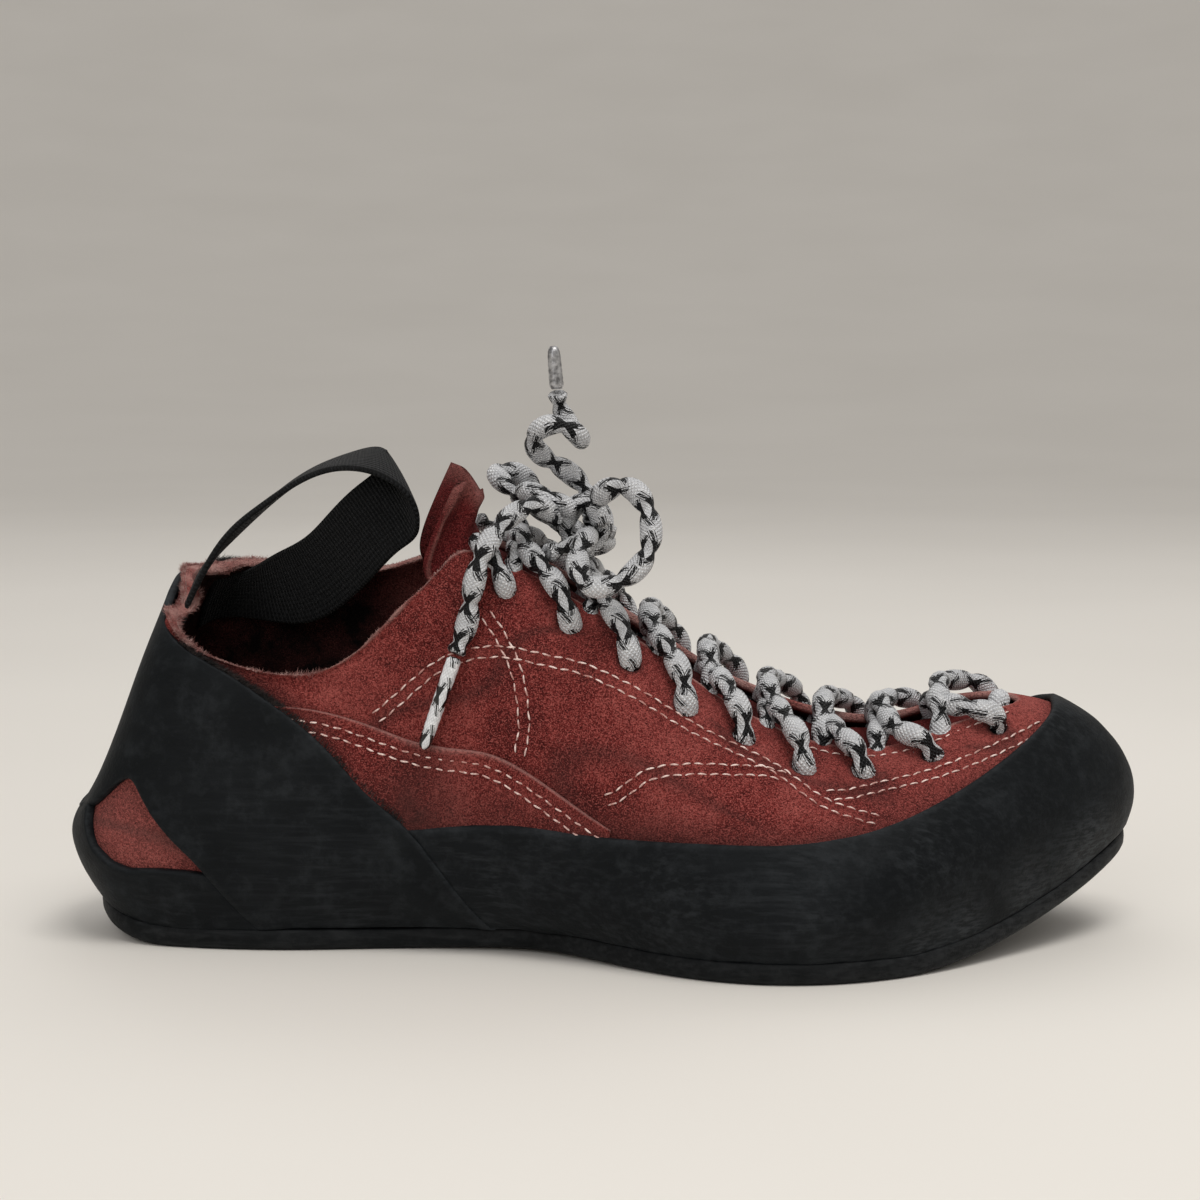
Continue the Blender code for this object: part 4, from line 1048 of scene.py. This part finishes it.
def make_sole():
    reach = SKIN_GAP + RUBBER + SOLE_LIP
    profile = [(reach - 0.0007, SOLE_THICK + 0.0005), (reach - 0.0002, SOLE_THICK + 0.0001),
               (reach, SOLE_THICK - 0.001), (reach + 0.0001, 0.0026), (reach, SOLE_ROUND),
               (reach - 0.0004, 0.0005), (reach - SOLE_ROUND, 0.0)]
    plate("outsole_rubber", "outsole", profile, 220, SOLE_RUBBER, "sole_rubber", sole_marks)
    room = -(WALL + INSOLE_ROOM)
    low = SOLE_THICK + GAP
    profile = [(room - 0.0008, low + INSOLE_THICK), (room, low + INSOLE_THICK - 0.0008),
               (room, low + 0.0003), (room - 0.0002, low)]
    plate("insole_board", "insole", profile, 90, LINING, "insole_lining")


# Side panel, with its raised upper edge

def panel_lift(station, rise, share):
    return 0.00035 * soft_step(share, 0.80, 0.97) + 0.0001 * noise(form(station, rise), 0.02, 71)


def panel_marks(station, rise, share):
    base = form(station, rise)
    grime_and_shade = patchy(base, 0.03, 72, 0.8 * (1 - share), 0.3)
    return np.stack([grime_and_shade, soft_step(share, 0.955, 1.0) * 0.55, patchy(base, 0.03, 73, 0, 0.3)], -1)


def make_panel():
    weights = spline_weights(np.linspace(0, 1, len(PANEL_TOP)), np.linspace(0, 1, 150))
    low, high = weights @ np.array(PANEL_LOW), weights @ np.array(PANEL_TOP)
    skin("side_panel_suede", "side_panel", low, high, PANEL, SUEDE, "suede_red", 22,
         panel_lift, panel_marks, PANEL_BEVEL)


# Tongue

# Side station and rise, front station and rise, the crown's height, and the ups of side and front
TONGUE = [
    (11.90, 0.80, 12.20, 0.93, 0.000, 0.00, 0.00), (11.20, 0.82, 11.40, 0.99, 0.000, 0.00, 0.00),
    (10.30, 0.82, 10.40, 1.00, 0.005, 0.00, 0.00), (9.40, 0.80, 9.40, 1.00, 0.010, 0.00, 0.00),
    (8.50, 0.78, 8.50, 1.00, 0.015, 0.00, 0.00), (7.70, 0.76, 7.70, 1.00, 0.015, 0.00, 0.00),
    (7.00, 0.76, 6.90, 1.00, 0.020, 0.00, 0.00), (6.20, 0.80, 6.35, 1.00, 0.028, 0.00, 0.00),
    (5.10, 0.87, 6.05, 1.04, 0.045, 0.00, 0.00), (4.75, 1.05, 5.95, 1.12, 0.035, 0.04, 0.04),
    (4.75, 1.07, 5.95, 1.14, 0.020, 0.26, 0.12),
]
TONGUE_UP = (0.4, 0.0, 0.9)
TONGUE_ACROSS, TONGUE_ALONG = 61, 170


def tongue_section(row, lift):
    """Places across the tongue, from the outer side over the crown to the inner side."""
    side_station, side_rise, front_station, front_rise, crown_share, side_up, front_up = row
    upward = np.array(TONGUE_UP) * INSTEP
    ends = ((side_station, front_station), (side_rise, front_rise), (side_up, front_up))
    stations, rises, ups = (np.linspace(side, front, 3) for side, front in ends)
    raised = np.outer(ups, upward)
    outer = form(stations, rises, lift) + raised
    inner = form(STATIONS - stations, rises, lift) + raised
    crown = (outer[-1] + inner[-1]) / 2 + upward * crown_share
    return np.concatenate([outer, [crown], inner[::-1]])


def make_tongue():
    sections = np.array([tongue_section(row, -(WALL + TONGUE_CLEAR)) for row in TONGUE])
    rows, columns = sections.shape[:2]
    across = spline_weights(np.arange(columns), np.linspace(0, columns - 1, TONGUE_ACROSS))
    along = spline_weights(np.arange(rows), np.linspace(0, rows - 1, TONGUE_ALONG))
    grid = np.einsum("ri,ijc,aj->rac", along, sections, across)
    down = unit(np.cross(np.gradient(grid, axis=0), np.gradient(grid, axis=1)))
    if down[TONGUE_ALONG // 2, TONGUE_ACROSS // 2, 2] > 0:
        down = -down
    along = np.linspace(0, 1, TONGUE_ALONG)[:, None]
    ripple = 0.0007 * noise(grid, 0.022, 81) + 0.0003 * noise(grid, 0.008, 82)
    ripple *= 0.4 + 0.6 * soft_step(along, 0.75, 0.95)
    outer = grid + down * (0.0006 - ripple)[..., None]
    inner = grid + down * (TONGUE_THICK - 0.0004)
    middle = (outer + inner) / 2
    rings = np.concatenate([outer, middle[:, -1:], inner[:, ::-1], middle[:, :1]], axis=1)
    side = np.zeros(rings.shape[1])
    side[:2] = side[TONGUE_ACROSS - 2 : TONGUE_ACROSS + 1] = 1
    edge = 0.5 * np.maximum(soft_step(along, 0.965, 1.0), side * soft_step(along, 0.7, 0.8))
    grime_and_shade = patchy(rings, 0.03, 83, 0.25, 0.4) * (1 - soft_step(along, 0.6, 0.85) * 0.6)
    mesh = loft("tongue_suede", rings, marks=np.stack([grime_and_shade, edge, np.zeros(edge.shape)], -1))
    add_piece("tongue_suede", mesh, SUEDE_TONGUE, "suede_tongue", "tongue")


# Pull loop

# The middle of the webbing, then the way across it
PULL_LOOP = [
    (0.0400, 0.0000, 0.1005, -0.10, 1.00, 0.00), (0.0500, 0.0020, 0.1100, -0.10, 1.00, 0.00),
    (0.0620, 0.0035, 0.1185, -0.10, 1.00, 0.05), (0.0720, 0.0040, 0.1218, -0.10, 1.00, 0.15),
    (0.0805, 0.0035, 0.1213, -0.25, 0.90, 0.35), (0.0850, 0.0025, 0.1175, -0.45, 0.70, 0.55),
    (0.0852, 0.0020, 0.1125, -0.55, 0.35, 0.75), (0.0795, 0.0025, 0.1070, -0.58, 0.10, 0.80),
    (0.0720, 0.0045, 0.1000, -0.58, 0.00, 0.80), (0.0650, 0.0080, 0.0935, -0.55, 0.00, 0.80),
    (0.0540, 0.0120, 0.0875, -0.35, 0.00, 0.90),
]
LOOP_SEAT_RISES = (0.80, 0.94)
LOOP_END_STATIONS = (-1.75, -1.45)
LOOP_END_RISE = 0.76
LOOP_ACROSS, LOOP_ALONG = 25, 200


def make_pull_loop():
    lift = -(WALL + 2 * GAP + LOOP_THICK / 2)
    half = LOOP_WIDTH / 2
    rows = []
    for rise in LOOP_SEAT_RISES:
        reach = half / np.linalg.norm(form(0.5, rise) - form(-0.5, rise))
        rows.append(form(np.array([reach, 0.0, -reach]), rise, lift))
    for point in PULL_LOOP:
        middle, across = np.array(point[:3]) + SHIFT, unit(np.array(point[3:])) * half
        rows.append(np.array([middle - across, middle, middle + across]))
    for station in LOOP_END_STATIONS:
        rises = LOOP_END_RISE + np.array([-1, 0, 1]) * half / HEEL_HEIGHT
        rows.append(form(station, rises, lift))
    rows = np.array(rows)
    knots = gone_along(rows[:, 1])
    gone = np.linspace(0, knots[-1], LOOP_ALONG)
    across = spline_weights([0, 1, 2], np.linspace(0, 2, LOOP_ACROSS))
    grid = np.einsum("ri,ijc,aj->rac", spline_weights(knots, gone), rows, across)
    normal = unit(np.cross(np.gradient(grid, axis=0), np.gradient(grid, axis=1)))
    share = np.linspace(-1, 1, LOOP_ACROSS)
    cup = 0.0006 * share**2 * np.sin(np.linspace(0, 9, LOOP_ALONG))[:, None]
    grid = grid + normal * cup[..., None]
    thick = normal * (LOOP_THICK / 2 * (1 - 0.55 * soft_step(np.abs(share), 0.93, 1.0)))[:, None]
    mesh = loft("pull_loop_webbing", np.concatenate([grid + thick, (grid - thick)[:, ::-1]], 1))
    write_uv(mesh, np.concatenate([share, share[::-1]]) * half, gone)
    add_piece("pull_loop_webbing", mesh, WEB, "webbing_black", "pull_loop")


# Stitches

THROAT_STITCHES = [(8.9, 0.885), (9.6, 0.885), (10.3, 0.89), (11.0, 0.895), (11.8, 0.90)]


def stitch_row(line, lift, drop=0.0):
    """Rings of short threads along a line of (station, rise), dropped across it by drop metres."""
    dense = smooth_line(line, 40 * len(line))
    middle = form(*dense.T, lift)
    outward = unit(form(*dense.T, lift + 0.001) - middle)
    across = np.cross(outward, unit(np.gradient(middle, axis=0)))
    middle = middle - across * drop
    gone = gone_along(middle)
    share = np.linspace(0, 1, 6)
    arch = np.sin(math.pi * share) * 0.00028 - 0.00022
    radius = STITCH_WIDTH / 2 * np.array([0.45, 0.9, 1.0, 1.0, 0.9, 0.45])
    threads = []
    for k, start in enumerate(np.arange(STITCH_PITCH * 0.3, gone[-1] - STITCH_LENGTH, STITCH_PITCH)):
        at = start + STITCH_LENGTH * share
        spine, up, side = (np.stack([np.interp(at, gone, axis) for axis in values.T], 1)
                           for values in (middle, outward, across))
        slant = (0.00014 if k % 2 else -0.0001) * (2 * share - 1)
        spine = spine + up * arch[:, None] + side * slant[:, None]
        threads.append(tube(spine, side, 0.75 * up, radius[:, None], turns(6)))
    return threads


def make_stitches():
    for name, turned, sign, panel_lift in (
        ("stitches_outer", list, 1, PANEL + 0.0003),
        ("stitches_inner", mirror_seam, -1, STITCH_LIFT),
    ):
        threads = []
        for seam in SEAMS:
            for drop in (-SEAM_GAP / 2, SEAM_GAP / 2):
                threads += stitch_row(turned(seam), STITCH_LIFT, sign * drop)
        threads += stitch_row(turned(THROAT_STITCHES), STITCH_LIFT)
        for drop in PANEL_SEAM_DROPS:
            threads += stitch_row(turned(PANEL_TOP), panel_lift, sign * drop)
        add_piece(name, join_lofts(name, threads), THREAD, "suede_red")


# Lace

def bead_tube(name, route, step, start=0.0, width=LACE_WIDTH, sides=14):
    """A beaded lace along a route: beads one BEAD long, joined by thin necks. Returns its mesh and
    the places along its middle."""
    line = even_line(route, step)
    gone = np.arange(len(line)) * np.linalg.norm(np.diff(line, axis=0), axis=1).mean()
    ahead = unit(np.gradient(line, axis=0))
    side = np.cross(ahead[0], (0.3, 0.2, 1.0))
    sides_on = []
    for way in ahead:
        side = unit(side - way * np.dot(side, way))
        sides_on.append(side)
    side = np.array(sides_on)
    beads = gone / BEAD + start
    off = np.abs(2 * (beads - np.floor(beads)) - 1)
    radius = width / 2 * (NECK_SHARE + (1 - NECK_SHARE) * (1 - off**BEAD_FULLNESS))
    radius[[0, -1]] *= 0.75
    turn = turns(sides)
    flat = 0.95 + 0.05 * np.cos(2 * turn)
    radius = radius[:, None] * flat
    return round_mesh(name, line, side, np.cross(ahead, side), radius, turn, beads), line


def over_rim(k, outer, station_off, rise, lift):
    """A place by eyelet k, on the outer side or mirrored on the inner one."""
    station = EYELETS[k][0] + station_off
    return form(station if outer else STATIONS - station, rise, lift)


def strand(outer, high):
    """One strand from eyelet 0 down to the last, changing sides at each step. At each eyelet it
    comes over the flap's edge, dives into the eyelet and passes on under the flap."""
    points = []
    half = LACE_WIDTH / 2
    for k, (_, hole) in enumerate(EYELETS):
        for place in (
            (-0.22, 1.02, half + 0.0006),
            (-0.17, 0.925, half + 0.0008),
            (-0.05, hole + 0.045, half - 0.0002),
            (0.02, hole, -0.0010),
            (0.16, hole + 0.07, -WALL - half - 0.0002),
        ):
            points.append(over_rim(k, outer, *place))
        if k < len(EYELETS) - 1:
            leave = over_rim(k, outer, 0.30, 1.00, -0.0012)
            outer = not outer
            arrive = over_rim(k + 1, outer, -0.34, 1.05, half + 0.0012)
            points += [leave, (leave + arrive) / 2 + np.array([0, 0, high])]
    return points, outer


def make_lacing():
    down, outer = strand(True, 0.0012)
    back, _ = strand(False, 0.0052)
    ends = [over_rim(len(EYELETS) - 1, side, 0.42, 1.0, -0.001) for side in (outer, not outer)]
    bar = (ends[0] + ends[1]) / 2 + np.array([0.0015, 0, 0.0005])
    mesh, _ = bead_tube("lace_through_eyelets", np.array(down + [bar] + back[::-1]), 0.0009, sides=12)
    add_piece("lace_through_eyelets", mesh, LACE, "lace_grey", "lace_crossings")


KNOT = (0.1330, -0.0011, 0.1065)
# The hitch is placed from the knot, and the other routes from the heel
KNOT_HITCH = [
    (-0.0085, -0.0125, -0.0072), (-0.0040, -0.0080, -0.0060), (0.0010, -0.0020, -0.0052),
    (0.0050, 0.0050, -0.0056), (0.0040, 0.0100, -0.0066), (-0.0010, 0.0120, -0.0078),
]
KNOT_TANGLE = [
    (0.1300, -0.0040, 0.1095), (0.1240, -0.0060, 0.1130), (0.1175, -0.0010, 0.1140),
    (0.1165, 0.0070, 0.1110), (0.1220, 0.0125, 0.1075), (0.1290, 0.0100, 0.1040),
    (0.1330, 0.0030, 0.1000), (0.1300, -0.0050, 0.0990),
]
NEAR_END = [
    (0.1264, -0.0069, 0.1068), (0.1215, -0.0130, 0.1115), (0.1160, -0.0180, 0.1090),
    (0.1110, -0.0250, 0.1025), (0.1080, -0.0277, 0.0935), (0.1060, -0.0272, 0.0830),
    (0.1035, -0.0292, 0.0760),
]
NEAR_AGLET = [(0.1033, -0.0294, 0.0750), (0.0955, -0.0305, 0.0525)]
FAR_END = [
    (0.1337, 0.0059, 0.1057), (0.1330, 0.0120, 0.1120), (0.1280, 0.0130, 0.1180),
    (0.1220, 0.0110, 0.1220), (0.1190, 0.0060, 0.1270), (0.1240, 0.0020, 0.1310),
    (0.1300, 0.0040, 0.1290), (0.1310, 0.0090, 0.1270), (0.1270, 0.0110, 0.1320),
    (0.1250, 0.0090, 0.1390),
]
FAR_AGLET = [(0.1249, 0.0091, 0.1400), (0.1240, 0.0090, 0.1510)]
NEAR_BOW = [
    (0.1349, -0.0069, 0.1042), (0.1335, -0.0150, 0.1015), (0.1330, -0.0215, 0.0965),
    (0.1370, -0.0265, 0.0925), (0.1440, -0.0265, 0.0940), (0.1500, -0.0235, 0.1000),
    (0.1505, -0.0200, 0.1090), (0.1455, -0.0165, 0.1160), (0.1390, -0.0125, 0.1150),
    (0.1365, -0.0085, 0.1120),
]
FAR_BOW = [
    (0.1274, 0.0026, 0.1054), (0.1200, 0.0060, 0.1100), (0.1120, 0.0080, 0.1150),
    (0.1090, 0.0120, 0.1180), (0.1130, 0.0160, 0.1180), (0.1200, 0.0170, 0.1120),
    (0.1280, 0.0120, 0.1040),
]


def make_knot():
    """The tied knot: two turns of lace round the crossing, the half hitch and the tangle."""
    centre = np.array(KNOT) + SHIFT
    turn = np.linspace(0, 4 * math.pi, 22)
    along = turn / 12.6 - 0.5
    wrap = np.stack([0.0048 * np.cos(turn) + 0.0012 * along, 0.0062 * along,
                     0.0058 * np.sin(turn) - 0.0008], 1)
    knot = []
    for name, route, start, width, nodes in (
        ("knot_wrap", centre + wrap, 0.2, KNOT_LACE_WIDTH, ["lace_knot"]),
        ("knot_hitch", centre + np.array(KNOT_HITCH), 0.6, KNOT_LACE_WIDTH, []),
        ("knot_tangle", SHIFT + np.array(KNOT_TANGLE), 0.3, TANGLE_LACE_WIDTH, []),
    ):
        mesh, _ = bead_tube(name, route, KNOT_STEP, start, width)
        knot.append(add_piece(name, mesh, LACE, "lace_grey", *nodes))
    return knot


def make_aglet(name, ends, finish, node):
    line = even_line(np.array(ends) + SHIFT, 0.0007)
    ahead = unit(line[-1] - line[0])
    side = unit(np.cross(ahead, (0.2, 1.0, 0.1)))
    share = np.linspace(0, 1, len(line))
    radius = TIP_RADIUS - TIP_TAPER * share
    radius[:2] = (0.0014, 0.0018)
    radius[-3:] = (0.0015, 0.0013, 0.0008)
    radius = radius * (1 + 0.03 * np.sin(share * 60))
    turn = turns(18)
    pinch = 1 - 0.10 * np.exp(-((turn - 2.0) / 0.25) ** 2)
    mesh = round_mesh(name, line, side, np.cross(ahead, side), radius[:, None] * pinch, turn,
                      0.2 + share * 1.9)
    return add_piece(name, mesh, finish, "aglet_grey", node)


def make_free_lace():
    knot = make_knot()
    near_tip = make_aglet("lace_tip_near", NEAR_AGLET, TIP, "aglet_near")
    far_tip = make_aglet("lace_tip_far", FAR_AGLET, FAR_TIP, "aglet_far")
    for name, route, node, far_end, with_pieces, start in (
        ("lace_end_near", NEAR_END, "lace_near_end", "fitting", [near_tip], 0.91),
        ("lace_end_far", FAR_END, "lace_far_end", "fitting", [far_tip], 0.88),
        ("lace_bow_near", NEAR_BOW, "lace_near_bow", "object", knot, 0.0),
        ("lace_bow_far", FAR_BOW, "lace_far_bow", "object", [], 0.4),
    ):
        mesh, line = bead_tube(name, np.array(route) + SHIFT, KNOT_STEP, start)
        piece = add_piece(name, mesh, LACE, "lace_grey", node)


make_free_lace()
make_upper()
make_rubber()
make_sole()
make_panel()
make_tongue()
make_pull_loop()
make_stitches()
make_lacing()

# The floor is flat round the shoe and rises far away like a shallow dish, so no edge of it is seen
reach = np.append(FLOOR_NEAR, np.linspace(FLOOR_FLAT, FLOOR_REACH, FLOOR_RINGS))
height = FLOOR_RISE * np.maximum(reach - FLOOR_FLAT, 0.0) ** 2
around = turns(FLOOR_SIDES)
dish = np.stack([np.outer(reach, np.cos(around)), np.outer(reach, np.sin(around)),
                 np.repeat(height[:, None], FLOOR_SIDES, axis=1)], -1)
panes = [face[::-1] for face in ring_faces(len(reach), FLOOR_SIDES)[:-1]]
floor = bpy.data.objects.new("floor", mesh_of("floor", dish, panes))
floor.data.materials.append(FLOOR)
scene.collection.objects.link(floor)
